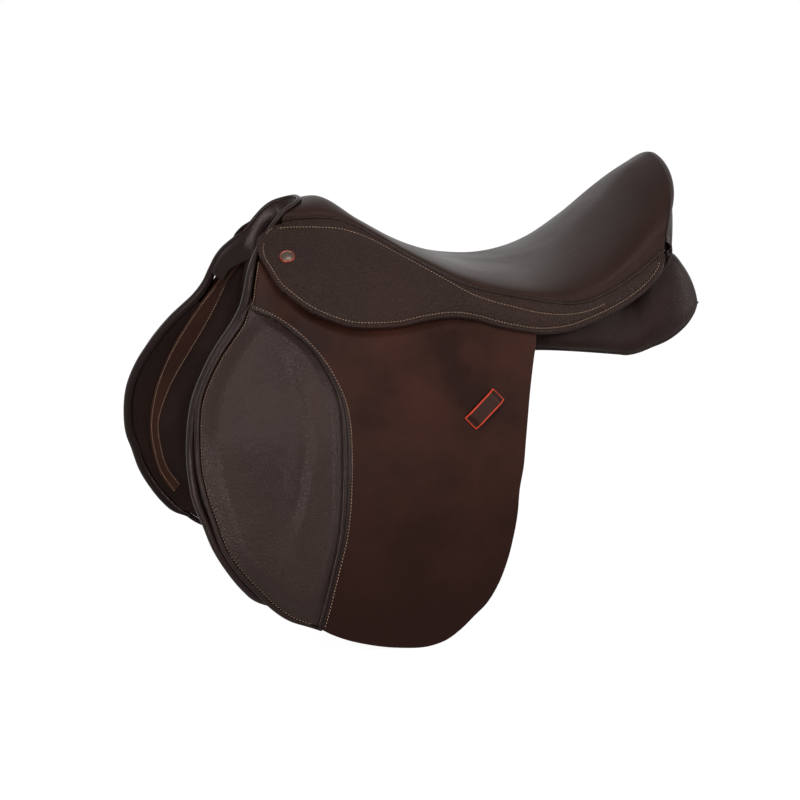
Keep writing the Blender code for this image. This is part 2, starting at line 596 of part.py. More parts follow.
def make_flap_head():
    """Fixed upper part of each flap, sewn to the tree, with the window for the stirrup bar."""
    leather = material("flap_leather", BROWN, 0.4)
    tucked = [(x, z - HEAD_TUCK) for x, z in WELT_LINE if x < FLAP_BEND[1][0]]
    top = curve([FLAP_HEAD_FRONT[0]] + tucked + [HEAD_REAR], 15)
    front = curve([top[0].tolist()] + FLAP_HEAD_FRONT[1:], 6)
    rear = curve([top[-1].tolist(), FLAP_BEND[1]], 6)
    bottom = curve(FLAP_BEND, 15)
    grid = patch(top, bottom, front, rear)
    head = slab("flap_head", hung(grid), hung(grid, -FLAP_LEATHER), leather)
    centre = hung(np.array([(BAR_FRONT + BAR_REAR + CATCH_LENGTH) / 2, BAR_Z]))
    length = BAR_REAR + CATCH_LENGTH - BAR_FRONT + 2 * WINDOW_MARGIN
    height = BAR_PLATE_HEIGHT + 2 * WINDOW_MARGIN + CATCH_ROOM
    axes = bar_axes()
    centre = Vector(centre) + axes[2] * CATCH_ROOM / 2
    window = box("window", centre, (length, WINDOW_DEPTH, height), axes, leather)
    pair(combine(head, [window], "DIFFERENCE"))


def bar_axes():
    """Directions along the stirrup bar, out of it and up it, from the drape at its place."""
    front = Vector(hung(np.array([BAR_FRONT, BAR_Z])))
    rear = Vector(hung(np.array([BAR_REAR + CATCH_LENGTH, BAR_Z])))
    along = (rear - front).normalized()
    low = Vector(hung(np.array([(BAR_FRONT + BAR_REAR) / 2, BAR_Z - BAR_HEIGHT / 2])))
    high = Vector(hung(np.array([(BAR_FRONT + BAR_REAR) / 2, BAR_Z + BAR_HEIGHT / 2])))
    rise = (high - low).normalized()
    out = along.cross(rise).normalized()
    up = out.cross(along).normalized()
    return along, out, up


def bar_place():
    """Middle of the stirrup bar's outer face, the given distance beyond the drape."""
    front = Vector(hung(np.array([BAR_FRONT, BAR_Z])))
    rear = Vector(hung(np.array([BAR_REAR + CATCH_LENGTH, BAR_Z])))
    return front, (rear - front).length


def make_stirrup_bars():
    """Steel bar on its plate, open at the rear, with the hinged catch that closes the slot."""
    steel = material("steel", STEEL, 0.32, 1.0)
    along, out, up = bar_axes()
    start, span = bar_place()
    face = start + out * BAR_PROUD
    length = span - CATCH_LENGTH
    inner = BAR_THICK + BAR_SLOT
    plate_centre = face + along * (length / 2) - out * (inner + BAR_PLATE / 2)
    plate = box("stirrup_bar", plate_centre, (length, BAR_PLATE, BAR_PLATE_HEIGHT), (along, out, up), steel)
    arm_centre = face + along * (length / 2) - out * (BAR_THICK / 2)
    arm = box("arm", arm_centre, (length, BAR_THICK, BAR_HEIGHT), (along, out, up), steel)
    neck_depth = inner + BAR_PLATE * 0.5
    neck_centre = face + along * (BAR_HEIGHT / 2) - out * (neck_depth / 2 + NECK_SINK)
    neck_size = (BAR_HEIGHT, neck_depth, BAR_HEIGHT - 2 * NECK_STEP)
    neck = box("neck", neck_centre, neck_size, (along, out, up), steel)
    bar = combine(plate, [arm, neck], "UNION")
    pin_place = length - CATCH_SETBACK
    pin_rise = BAR_HEIGHT / 2 - CATCH_HEIGHT / 2 - PIN_COVER
    pin_at = face + along * pin_place - out * (BAR_THICK / 2) + up * pin_rise
    tail = math.hypot(CATCH_TAIL, CATCH_HEIGHT / 2) + FORK_ROOM
    fork_length = tail + CATCH_SETBACK + GAP
    fork_height = BAR_HEIGHT / 2 - pin_rise + tail + GAP
    fork_centre = pin_at + along * (fork_length / 2 - tail) + up * (fork_height / 2 - tail)
    fork_size = (fork_length, CATCH_THICK + 2 * GAP, fork_height)
    fork_cut = box("fork", fork_centre, fork_size, (along, out, up), steel)
    pin_half = out * (BAR_THICK / 2)
    hole_half = out * (BAR_THICK / 2 + OVERRUN / 4)
    pin_hole = rod("pin_hole", pin_at - hole_half, pin_at + hole_half, PIN_RADIUS + GAP, steel)
    pair(combine(bar, [fork_cut, pin_hole], "DIFFERENCE"))
    pair(rod("catch_pin", pin_at - pin_half, pin_at + pin_half, PIN_RADIUS, steel))
    make_bar_catch(steel, pin_at)


def make_bar_catch(steel, pin_at):
    """Tongue that turns on the pin, with the raised piece that a thumb presses."""
    along, out, up = bar_axes()
    reach = CATCH_TAIL + CATCH_SETBACK + CATCH_LENGTH - 2 * PIN_COVER
    tip = reach - CATCH_TAIL
    half = CATCH_HEIGHT / 2
    crest = half + CATCH_CREST
    outline = [(-CATCH_TAIL, -half), (tip, -half), (tip, half), (tip - CATCH_THUMB / 2, half),
               (tip - CATCH_THUMB / 2, crest), (tip - 1.5 * CATCH_THUMB, crest),
               (tip - 1.5 * CATCH_THUMB, half), (-CATCH_TAIL, half)]
    rings = [[pin_at + along * a + up * b + out * (side * CATCH_THICK / 2) for a, b in outline]
             for side in (-1, 1)]
    hole_half = out * (BAR_THICK / 2)
    catch_hole = rod("catch_hole", pin_at - hole_half, pin_at + hole_half, PIN_RADIUS + GAP, steel)
    pair(combine(loft("bar_catch", rings, steel), [catch_hole], "DIFFERENCE"), pivot=pin_at)


def make_flap():
    """Loose part of each flap, with the piping on its front edge."""
    leather = material("flap_leather", BROWN, 0.4)
    bend = np.array(FLAP_BEND) + (0.0, -GAP * 2)
    front = curve([bend[0].tolist()] + FLAP_FRONT[1:], 12)
    rear = curve([bend[1].tolist()] + FLAP_REAR[1:], 12)
    grid = patch(curve(bend.tolist(), 12), curve(FLAP_FOOT, 12), front, rear)
    pivot = flap_hinge()[0]
    pair(slab("flap", hung(grid), hung(grid, -FLAP_LEATHER), leather), pivot=pivot)
    path = curve([bend[0].tolist()] + FLAP_FRONT[1:] + FLAP_FOOT[1:2], 20)[1:]
    path = beside(path, FLAP_PIPING_RADIUS + LAYER_GAP)
    pair(tube("flap_piping", hung(path, -FLAP_LEATHER / 2), FLAP_PIPING_RADIUS, leather), pivot=pivot)


def beside(path, distance):
    """The (x, z) path moved sideways, away from the saddle's middle."""
    along = np.gradient(path, axis=0)
    outward = np.stack([along[:, 1], -along[:, 0]], axis=-1)
    return path + distance * outward / np.linalg.norm(outward, axis=1)[:, None]


def hinge_axis(ends, proud):
    """Straight bend line on the near side, outside every point of the drape along it."""
    line = curve(ends, 41)
    surface = hung(line, proud)
    share = np.linspace(0.0, 1.0, 41)
    chord = surface[0, 1] + share * (surface[-1, 1] - surface[0, 1])
    outside = float(np.max(chord - surface[:, 1]))
    points = surface[[0, -1]] + np.array([0.0, -max(outside, 0.0), 0.0])
    return Vector(points[0]), Vector(points[1])


def flap_hinge():
    """The bend line of the flap, outside the knee pad's head."""
    return hinge_axis(FLAP_BEND, BEND_ROOM)


def skirt_hinge():
    """The bend line of the skirt's lobe."""
    return hinge_axis(SKIRT_BEND, SKIRT_LEATHER + SKIRT_LIFT_ROOM)


def pad_grid(rows, columns):
    """The knee pad's outline below the bend line, as a grid of (x, z)."""
    border = curve(FLAP_FRONT, 61)
    border = beside(border, -PAD_INSET)
    bend = curve(FLAP_BEND, 2)
    slope = (bend[1, 1] - bend[0, 1]) / (bend[1, 0] - bend[0, 0])
    level = bend[0, 1] - PAD_BEND_DROP
    start_x = border[border[:, 1] < bend[0, 1] - PAD_FRONT_START][0, 0] + PAD_FRONT_SETBACK
    start = (start_x, level + slope * (start_x - bend[0, 0]))
    head = (PAD_REAR[0][0], level + slope * (PAD_REAR[0][0] - bend[0, 0]))
    front = curve([start] + border[12::12].tolist(), rows)
    rear = curve([head] + PAD_REAR[1:], rows)
    low = (FLAP_FOOT[1][0], FLAP_FOOT[1][1] + PAD_INSET)
    bottom = curve([front[-1].tolist(), low, rear[-1].tolist()], columns)
    return patch(curve([start, head], columns), bottom, front, rear)


def pad_height(rows, columns):
    """How far the pad stands off: a dome with a shallow groove that parts its front block."""
    u = np.linspace(0.0, 1.0, columns)[None, :]
    v = np.linspace(0.0, 1.0, rows)[:, None]
    dome = smooth(np.minimum(u, 1 - u) / 0.30) * smooth((1 - v) / 0.16) * (0.45 + 0.55 * smooth(v / 0.22))
    groove = np.exp(-((u - 0.52) / 0.075) ** 2) * smooth(v / 0.1) * smooth((1 - v) / 0.2)
    return PAD_EDGE + (PAD_FULLNESS - PAD_EDGE) * dome * (1 - 0.35 * groove)


def make_knee_pads():
    """Padded knee pad sewn on the flap, and its head above the flap's bend line."""
    leather = material("pad_leather", GREY_BROWN, 0.5)
    rows, columns = 11, 9
    grid = pad_grid(rows, columns)
    height = pad_height(rows, columns)
    height[0] = np.minimum(height[0], PAD_BEND_HEIGHT)
    face = hung(grid, PAD_GAP + height)
    pair(slab("knee_pad", face, hung(grid, PAD_GAP), leather), pivot=flap_hinge()[0])
    head_low = grid[0] + (0.0, PAD_HEAD_GAP)
    front = curve(PAD_HEAD_FRONT + [head_low[0].tolist()], 4)
    rear = curve(PAD_HEAD_REAR + [head_low[-1].tolist()], 4)
    top = curve([front[0].tolist(), rear[0].tolist()], columns)
    head = patch(top, head_low, front, rear)
    rise = np.linspace(0.35, 1.0, 4)[:, None] * height[:1]
    pair(slab("knee_pad_head", hung(head, PAD_GAP + rise), hung(head, PAD_GAP), leather))


def skirt_room(x, z):
    """Extra stand-off of the skirt where it covers the stirrup bar."""
    along = (x - SKIRT_ROOM_PLACE[0]) / SKIRT_ROOM_REACH[0]
    up = (z - SKIRT_ROOM_PLACE[1]) / SKIRT_ROOM_REACH[1]
    nose = SKIRT_NOSE_ROOM * smooth((HEAD_START[0] - x) / 0.02)
    return GAP + nose + SKIRT_LIFT_ROOM * smooth(1.35 * (1 - along**2 - up**2))


def skirt_slab(name, grid, finish):
    """A piece of the skirt, standing off the flap by its room."""
    room = skirt_room(grid[..., 0], grid[..., 1])
    return slab(name, hung(grid, room + SKIRT_LEATHER), hung(grid, room), finish)


def make_skirts():
    """Skirt: the band sewn under the welt, and the loose lobe over the stirrup bar."""
    leather = material("skirt_leather", BROWN, 0.5)
    (bend_x, bend_z), (end_x, end_z) = SKIRT_BEND
    low = curve([(bend_x, bend_z - 0.0030)] + SKIRT_LOWER[:5] + [(end_x - 0.0015, end_z - 0.0010)], 13)
    high = curve([(bend_x, bend_z - 0.0004), (end_x, end_z + 0.0016)], 13)
    share = np.linspace(0.0, 1.0, 4)[:, None, None]
    lobe = (1 - share) * high[None] + share * low[None]
    pair(skirt_slab("skirt_lobe", lobe, leather), pivot=skirt_hinge()[0])
    count = 25
    line = welt_line(count - 3)
    corner = np.array(SKIRT_CORNER)
    climb = np.linspace(0.0, 1.0, 4)[:3, None]
    upper = np.concatenate([(1 - climb) * corner + climb * line[0], line])
    upper = upper + (0.0, -2 * WELT_RADIUS - LAYER_GAP)
    upper[0] = corner
    bend = curve([(bend_x, bend_z + 0.0003), (end_x + 0.0010, end_z + 0.0023)], 16)
    lower = np.concatenate([bend, curve([bend[-1].tolist()] + SKIRT_LOWER[6:], count - 15)[1:]])
    share = np.linspace(0.0, 1.0, 4)[:, None, None]
    band = (1 - share) * upper[None] + share * lower[None]
    pair(skirt_slab("skirt_band", band, leather))
    line = welt_line(25)
    place = hung(line + (0.0, -WELT_RADIUS), WELT_RADIUS + 3 * GAP)
    pair(tube("welt", place, WELT_RADIUS, material("welt_leather", DARK, 0.35), sides=5))


def make_nails():
    """Domed saddle nail through each skirt's front corner."""
    x, z = NAIL_PLACE
    seat = Vector(hung(np.array([x, z]), float(skirt_room(x, z)) + SKIRT_LEATHER))
    a = Vector(hung(np.array([x + NAIL_HEAD_RADIUS / 2, z])))
    b = Vector(hung(np.array([x, z + NAIL_HEAD_RADIUS / 2])))
    c = Vector(hung(np.array([x, z])))
    out = (a - c).cross(b - c).normalized()
    side = out.orthogonal().normalized()
    up = out.cross(side)
    rings = []
    for rise, share in NAIL_PROFILE:
        middle = seat + out * (NAIL_UNDERSIDE + rise * (NAIL_DOME - NAIL_UNDERSIDE))
        radius = NAIL_HEAD_RADIUS * share
        rings.append([middle + radius * (math.cos(t) * side + math.sin(t) * up)
                      for t in np.linspace(0, 2 * math.pi, 14, endpoint=False)])
    pair(loft("saddle_nail", rings, material("copper", COPPER, 0.35, 0.7), bend=50.0))


def make_keepers():
    """Slanting leather loop on the flap that keeps the end of the stirrup leather."""
    leather = material("flap_leather", BROWN, 0.4)
    front = Vector(hung(np.array(KEEPER_FRONT)))
    rear = Vector(hung(np.array(KEEPER_REAR)))
    along = (rear - front).normalized()
    low = Vector(hung(np.array(KEEPER_FRONT) + (KEEPER_LEATHER * 2, -KEEPER_ROOM)))
    out = along.cross((front - low).normalized()).normalized()
    up = out.cross(along)
    middle = (front + rear) / 2
    half = (rear - front).length / 2
    top = KEEPER_ROOM + KEEPER_LEATHER
    foot = half - KEEPER_SEWN
    crown = foot - KEEPER_RAMP
    outline = [(-half, 0.0), (-half, KEEPER_LEATHER), (-foot, KEEPER_LEATHER), (-crown, top), (crown, top),
               (foot, KEEPER_LEATHER), (half, KEEPER_LEATHER), (half, 0.0), (foot - KEEPER_TURN, 0.0),
               (crown - KEEPER_TURN, KEEPER_ROOM), (KEEPER_TURN - crown, KEEPER_ROOM),
               (KEEPER_TURN - foot, 0.0)]
    rings = [[middle + along * a + out * (b + GAP) + up * (side * KEEPER_WIDTH / 2) for a, b in outline]
             for side in (-1, 1)]
    pair(loft("keeper", rings, leather), pivot=flap_hinge()[0])


def strap_frame():
    """The straps' plane: a point on the outer face, and its directions down, back and out."""
    base, along, up = strap_plane()
    place = Vector((STRAP_MIDDLE_X, -base, 0.0))
    out = Vector((-along, -1.0, -up)).normalized()
    fall = Vector((0.0, 0.0, -1.0))
    down = (fall - out * out.dot(fall)).normalized()
    return place, down, out.cross(down), out


def strap_span():
    """Distances along the straps from the frame's origin to their top and their end."""
    base, down, back, out = strap_frame()
    return (base.z - STRAP_TOP) / -down.z, (base.z - STRAP_END) / -down.z


def strap_pivot():
    """The point about which the straps swing, on the middle strap's top."""
    base, down, back, out = strap_frame()
    top, end = strap_span()
    return base + down * (top + SWING_DROP)


def make_girth_straps():
    """Three punched girth straps and the buckle guard that slides on the front two."""
    leather = material("strap_leather", BROWN, 0.5)
    base, down, back, out = strap_frame()
    top, end = strap_span()
    pivot = strap_pivot()
    names = {"girth_strap_front": -1, "girth_strap_middle": 0, "girth_strap_rear": 1}
    for name, place in names.items():
        across = back * (place * STRAP_PITCH)
        rings = []
        half = STRAP_WIDTH / 2
        nose = half * STRAP_NOSE_SHARE
        outline = [(top, -half), (top, half), (end - STRAP_TIP, half), (end - STRAP_NOSE, nose), (end, 0.0),
                   (end - STRAP_NOSE, -nose), (end - STRAP_TIP, -half)]
        for depth in (0.0, STRAP_THICK):
            rings.append([base + across + down * a + back * b - out * depth for a, b in outline])
        strap = loft(name, rings, leather)
        cuts = []
        for k in range(HOLES):
            at = base + across + down * (end - HOLE_START - k * HOLE_PITCH)
            far = at - out * (STRAP_THICK + OVERRUN)
            cuts.append(rod("hole", at + out * OVERRUN, far, HOLE_RADIUS, leather, sides=6))
        pair(combine(strap, cuts, "DIFFERENCE"), pivot=pivot)
    make_buckle_guard(leather, base, down, back, out, top)


def make_buckle_guard(leather, base, down, back, out, top):
    """Guard with one slot for the front strap and one for the middle strap."""
    start = (base.z - GUARD_TOP) / -down.z
    centre = base + down * (start + GUARD_HEIGHT / 2) - back * (STRAP_PITCH / 2)
    width = STRAP_PITCH + STRAP_WIDTH + 2 * GUARD_MARGIN
    depth = STRAP_THICK + 2 * (GUARD_WALL + GUARD_ROOM)
    middle = centre - out * (STRAP_THICK / 2)
    guard = box("buckle_guard", middle, (width, depth, GUARD_HEIGHT), (back, out, down), leather)
    slot = (STRAP_WIDTH + 2 * GUARD_ROOM, STRAP_THICK + 2 * GUARD_ROOM, GUARD_HEIGHT + 2 * OVERRUN)
    cuts = []
    for place in (-0.5, 0.5):
        at = middle + back * (place * STRAP_PITCH)
        cuts.append(box("slot", at, slot, (back, out, down), leather))
    pair(combine(guard, cuts, "DIFFERENCE"), pivot=centre)


def panel_ring(corners, x, around, fullness):
    """Section of a cushion: a superellipse laid in the four corners of its station."""
    turn = np.linspace(0.0, 2 * math.pi, around, endpoint=False)
    a = np.sign(np.cos(turn)) * np.abs(np.cos(turn)) ** (2 / fullness)
    b = np.sign(np.sin(turn)) * np.abs(np.sin(turn)) ** (2 / fullness)
    top_in, top_out, low_out, low_in = [np.array(c) for c in corners]
    u = ((a + 1) / 2)[:, None]
    v = ((b + 1) / 2)[:, None]
    place = v * ((1 - u) * top_in + u * top_out) + (1 - v) * ((1 - u) * low_in + u * low_out)
    return np.stack([x + 0 * a, -place[:, 0], place[:, 1]], axis=-1)


def panel_corner(x, corner, is_top):
    """A corner's half width: as given, or out to the tree's wall or the sweat flap's inner face."""
    half, height = corner
    if half is None and is_top:
        half = float(drape(x, height)) - TREE_SIDE_DEPTH - TREE_WALL - PANEL_CLEARANCE
    elif half is None:
        inside = max(float(sweat_depth(x, height)) + SWEAT_LEATHER, TREE_SIDE_DEPTH + TREE_WALL)
        half = float(drape(x, height)) - inside - SWEAT_CLEARANCE
    return half, height


def make_panel():
    """Two flocked cushions with rear gussets, and the strip that joins them over the gullet."""
    leather = material("panel_leather", DARK, 0.5)
    table = [[x, *top_in, *panel_corner(x, top_out, True), *panel_corner(x, low_out, False), *low_in]
             for x, top_in, top_out, low_out, low_in in PANEL_STATIONS]
    line = curve(table, 19)
    rings = []
    for row in line:
        corners = (row[1:3], row[3:5], row[5:7], row[7:9])
        rings.append(panel_ring(corners, row[0], 12, PANEL_FULLNESS))
    pair(loft("panel_cushion", rings, leather, bend=60.0))
    knee = sweat_grid()[1:KNEE_ROWS, 1:KNEE_COLUMNS]
    inside = sweat_depth(knee[..., 0], knee[..., 1]) + SWEAT_LEATHER + 2 * GAP
    pair(slab("panel_knee", hung(knee, -inside), hung(knee, -inside - KNEE_THICK), leather))
    grids = []
    for lift in (0.0, GULLET_STRIP):
        lines = []
        for row in line[2:-3]:
            middle = (row[2] + row[8]) / 2
            half = (row[1] + row[7]) / 2 - (row[7] - row[1]) * GULLET_STRIP / (row[2] - row[8]) - RUNWAY_GAP
            lines.append([(row[0], y, middle + lift) for y in (-half, 0.0, half)])
        grids.append(np.array(lines))
    slab("gullet_strip", grids[1], grids[0], leather)


def make_pommel():
    """Roll over the pommel's front edge and the dark facing under it."""
    dark = material("facing_leather", DARK, 0.35)
    front = seat_surface(2, SEAT_COLUMNS, 0.0, start=0.0, end=0.001)[0]
    near = hung(curve(POMMEL_SIDE, 7))
    off = near[::-1] * np.array([1.0, -1.0, 1.0])
    path = np.concatenate([near, front, off])
    along = np.gradient(path, axis=0)
    along /= np.linalg.norm(along, axis=1)[:, None]
    ahead = np.column_stack([-along[:, 1], along[:, 0], 0 * along[:, 0]])
    ahead /= np.linalg.norm(ahead, axis=1)[:, None]
    under = np.cross(ahead, along)
    middle = path + ahead * (POMMEL_ROLL_RADIUS + 2 * LAYER_GAP) + under * POMMEL_ROLL_DROP
    tube("pommel_roll", middle, POMMEL_ROLL_RADIUS, dark, sides=6)
    share = np.linspace(0.0, 1.0, 3)[:, None, None]
    face = path + under * (FACING_DROP + share * FACING_WIDTH)
    face = face[:, FACING_INSET:-FACING_INSET]
    slab("pommel_facing", face + ahead[FACING_INSET:-FACING_INSET] * FACING, face, dark)


def make_cantle():
    """Leather behind the cantle, and the bead along its foot."""
    dark = material("facing_leather", DARK, 0.35)
    rim = seat_surface(2, 15, 0.0, start=0.999, end=1.0, wide=0.985)[1]
    foot = rim.copy()
    share = rim[:, 1] / np.abs(rim[:, 1]).max()
    foot[:, 0] = CANTLE_FOOT[0] + CANTLE_FOOT_ROUND * (1 - share**2)
    foot[:, 1] = rim[:, 1] * CANTLE_FOOT_SHARE
    foot[:, 2] = np.minimum(rim[:, 2] - CANTLE_FOOT_FALL, CANTLE_FOOT[1])
    rows = np.linspace(0.0, 1.0, 4)[:, None, None]
    back = CANTLE_STAND + CANTLE_BULGE * np.sin(math.pi * rows)
    face = (1 - rows) * rim[None] + rows * foot[None] + back * np.array([1.0, 0.0, 0.0])
    slab("cantle_facing", face + np.array([FACING, 0.0, 0.0]), face, dark)
    path = face[-1] + np.array([CANTLE_BEAD_RADIUS, 0.0, -CANTLE_BEAD_RADIUS - GAP])
    tube("cantle_bead", path, CANTLE_BEAD_RADIUS, dark, sides=8)


def build():
    """Make every piece."""
    clear_scene()
    make_tree()
    make_seat()
    make_girth_webs()
    make_sweat_flap()
    make_flap_head()
    make_stirrup_bars()
    make_flap()
    make_knee_pads()
    make_skirts()
    make_nails()
    make_keepers()
    make_girth_straps()
    make_panel()
    make_pommel()
    make_cantle()


build()
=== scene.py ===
"""Visible model of an English general-purpose saddle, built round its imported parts.

Metres, +Z up, +X towards the cantle, and the near (left) side is -Y. Every side leather lies on one
curved surface, the drape, at its own distance from it.
"""
import math

import bpy
import numpy as np
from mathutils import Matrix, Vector


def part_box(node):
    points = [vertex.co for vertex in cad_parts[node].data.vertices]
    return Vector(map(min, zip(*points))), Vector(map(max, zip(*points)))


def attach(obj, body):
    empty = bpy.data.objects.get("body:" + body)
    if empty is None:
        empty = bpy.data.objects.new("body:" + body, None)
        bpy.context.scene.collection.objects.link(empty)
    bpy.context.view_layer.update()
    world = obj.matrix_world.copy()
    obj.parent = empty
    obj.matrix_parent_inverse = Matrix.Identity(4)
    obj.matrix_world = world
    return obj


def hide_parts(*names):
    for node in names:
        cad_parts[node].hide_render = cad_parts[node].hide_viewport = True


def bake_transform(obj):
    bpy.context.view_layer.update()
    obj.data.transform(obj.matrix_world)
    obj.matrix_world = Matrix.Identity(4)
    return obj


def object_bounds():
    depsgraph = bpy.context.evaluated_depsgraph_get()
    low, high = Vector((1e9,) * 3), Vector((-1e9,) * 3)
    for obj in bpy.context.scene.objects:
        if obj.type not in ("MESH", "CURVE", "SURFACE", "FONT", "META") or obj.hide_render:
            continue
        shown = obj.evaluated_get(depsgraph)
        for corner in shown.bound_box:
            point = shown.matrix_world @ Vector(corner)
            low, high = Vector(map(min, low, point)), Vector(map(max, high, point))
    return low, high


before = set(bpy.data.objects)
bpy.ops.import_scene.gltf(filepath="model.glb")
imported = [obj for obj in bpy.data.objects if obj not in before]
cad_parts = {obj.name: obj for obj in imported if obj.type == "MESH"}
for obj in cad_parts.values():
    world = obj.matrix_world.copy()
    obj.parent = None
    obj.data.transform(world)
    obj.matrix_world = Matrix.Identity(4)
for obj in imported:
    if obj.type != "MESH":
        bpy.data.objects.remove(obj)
CAD_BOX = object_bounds()

bl_info = {
    "name": "English saddle",
    "version": (1, 0, 0),
    "blender": (4, 5, 0),
    "location": "View3D > Sidebar > Saddle",
    "description": "Leathers, rolls, stitching and fittings of an English saddle",
    "category": "Add Mesh",
}

# The drape
DRAPE_WIDTH = 0.206
DRAPE_FOOT = -0.266
DRAPE_HEAD = 0.125
DROP_FRONT = 0.140
DROP_REAR = 0.0865
WAIST = (-0.168, 0.068)
EDGE_DROP = 0.010
EDGE_START = (-0.190, -0.060)
HEAD_DROP = 0.012
HEAD_START = (-0.155, 0.105)
DROP_REACH = (0.045, 0.060)
HEAD_RISE = 0.035
GAP = 0.0003

# Cords and stitches
CORD_END_RINGS = 4
CORD_TIP = 0.04
STITCH_SLANT = 0.30
STITCH_SIDES = 6
STITCH_PLACES = (-1.0, -0.75, 0.0, 0.75, 1.0)
STITCH_RADII = (0.35, 0.85, 1.0, 0.85, 0.35)

# Seat: the welt line on the drape and the seat's centre line, as (x, z)
WELT_LINE = [(-0.1960, 0.1560), (-0.1766, 0.1587), (-0.1530, 0.1591), (-0.1299, 0.1544), (-0.1130, 0.1465),
             (-0.0957, 0.1362), (-0.0786, 0.1249), (-0.0612, 0.1146), (-0.0436, 0.1050), (-0.0288, 0.0968),
             (-0.0104, 0.0898), (0.0136, 0.0839), (0.0395, 0.0787), (0.0674, 0.0732), (0.0886, 0.0706),
             (0.1105, 0.0726), (0.1332, 0.0801), (0.1578, 0.0912), (0.1820, 0.1054), (0.2033, 0.1197)]
SEAT_RIDGE = [(-0.170, 0.1735), (-0.150, 0.1757), (-0.110, 0.1527), (-0.070, 0.1299), (-0.030, 0.1123),
              (0.020, 0.0985), (0.060, 0.0963), (0.100, 0.1053), (0.140, 0.1250), (0.180, 0.1605),
              (0.215, 0.1965), (0.238, 0.2110)]
POMMEL_SET_BACK = 0.029
CANTLE_SET_BACK = 0.032
SEAT_OVERHANG = 0.0022
SEAT_SIDE_SHARE = 0.8
SEAT_EDGE_SHARE = 0.6
SEAT_TUCK = 0.0032
SEAT_TUCK_TURN = 1.2
CANTLE_ROLL_TURN = 0.88 * math.pi
CANTLE_ROLL_SIDE = 0.0025
CANTLE_ROLL_MIDDLE = 0.0045
WAIST_FULLNESS = 2.2
CANTLE_FULLNESS = 1.6

# Lines on the skirt, the flap and the knee pad, as (x, z)
SKIRT_EDGE = [(-0.2295, 0.1225), (-0.2252, 0.1087), (-0.2182, 0.0944), (-0.2079, 0.0841), (-0.1969, 0.0748),
              (-0.1730, 0.0616), (-0.1464, 0.0526), (-0.1194, 0.0508), (-0.0932, 0.0521), (-0.0667, 0.0570),
              (-0.0358, 0.0591), (-0.0157, 0.0558), (0.0044, 0.0495), (0.0239, 0.0449), (0.0440, 0.0412),
              (0.0649, 0.0403), (0.0866, 0.0422), (0.1089, 0.0481), (0.1315, 0.0556), (0.1559, 0.0661),
              (0.1798, 0.0802), (0.1944, 0.0928), (0.2001, 0.0997), (0.2040, 0.1098)]
SKIRT_FRONT = [(-0.1971, 0.1568), (-0.2064, 0.1515), (-0.2167, 0.1447), (-0.2239, 0.1389),
               (-0.2285, 0.1310), (-0.2295, 0.1225)]
SKIRT_UPPER_SEAM = [(-0.2180, 0.1400), (-0.2123, 0.1463), (-0.1988, 0.1485), (-0.1794, 0.1495),
                    (-0.1601, 0.1494), (-0.1402, 0.1476), (-0.1214, 0.1422), (-0.1027, 0.1334),
                    (-0.0858, 0.1234), (-0.0690, 0.1139), (-0.0519, 0.1037), (-0.0378, 0.0953),
                    (-0.0126, 0.0812), (0.0075, 0.0742), (0.0269, 0.0689), (0.0467, 0.0636),
                    (0.0673, 0.0602), (0.0887, 0.0593), (0.1107, 0.0622), (0.1274, 0.0675)]
SKIRT_SEAM_DEPTH = 0.0062
SKIRT_BASE = 0.0014           # the skirt's thickness where it goes under the seat
SKIRT_SUNK = 0.011            # over this distance from the seat it comes to its full height
SKIRT_SWELL = ((-0.135, 0.082), (0.150, 0.075))
FLAP_INSET = 0.0020
FLAP_CREASE = 0.0045
PAD_RIM = 0.0020
FLAP_BEND = [(-0.2612, 0.0560), (0.0478, 0.0340)]
FLAP_HEAD_FRONT = [(-0.2184, 0.1329), (-0.2298, 0.1165), (-0.2377, 0.0953)]
FRONT_SEAM = [(-0.2435, 0.0780), (-0.2496, 0.0695), (-0.2554, 0.0595), (-0.2701, 0.0434), (-0.2817, 0.0310),
              (-0.2936, 0.0155), (-0.3039, -0.0007), (-0.3107, -0.0146), (-0.3148, -0.0284),
              (-0.3187, -0.0515), (-0.3197, -0.0754), (-0.3166, -0.0979), (-0.3093, -0.1248),
              (-0.2997, -0.1552), (-0.2854, -0.1785), (-0.2685, -0.1982), (-0.2503, -0.2172),
              (-0.2348, -0.2290), (-0.2169, -0.2380)]
FLAP_FOOT = [(-0.2169, -0.2420), (-0.2024, -0.2487), (-0.1811, -0.2592), (-0.1563, -0.2669),
             (-0.1193, -0.2737), (-0.0864, -0.2747), (-0.0677, -0.2699), (-0.0511, -0.2594),
             (-0.0367, -0.2466)]
FLAP_REAR = [(0.0470, 0.0705), (0.0478, 0.0340), (0.0432, 0.0160), (0.0352, -0.0201), (0.0309, -0.0443),
             (0.0268, -0.0687), (0.0229, -0.0931), (0.0170, -0.1176), (0.0136, -0.1423), (0.0081, -0.1671),
             (0.0007, -0.1919), (-0.0109, -0.2165), (-0.0244, -0.2358), (-0.0367, -0.2466)]
PAD_SEAM = [(-0.2446, 0.0754), (-0.2254, 0.0669), (-0.2048, 0.0526), (-0.1927, 0.0403), (-0.1794, 0.0230),
            (-0.1689, 0.0025), (-0.1619, -0.0178), (-0.1597, -0.0425), (-0.1611, -0.0671),
            (-0.1641, -0.0963), (-0.1682, -0.1257), (-0.1736, -0.1530), (-0.1821, -0.1803),
            (-0.1906, -0.2080), (-0.1975, -0.2313), (-0.2014, -0.2430)]
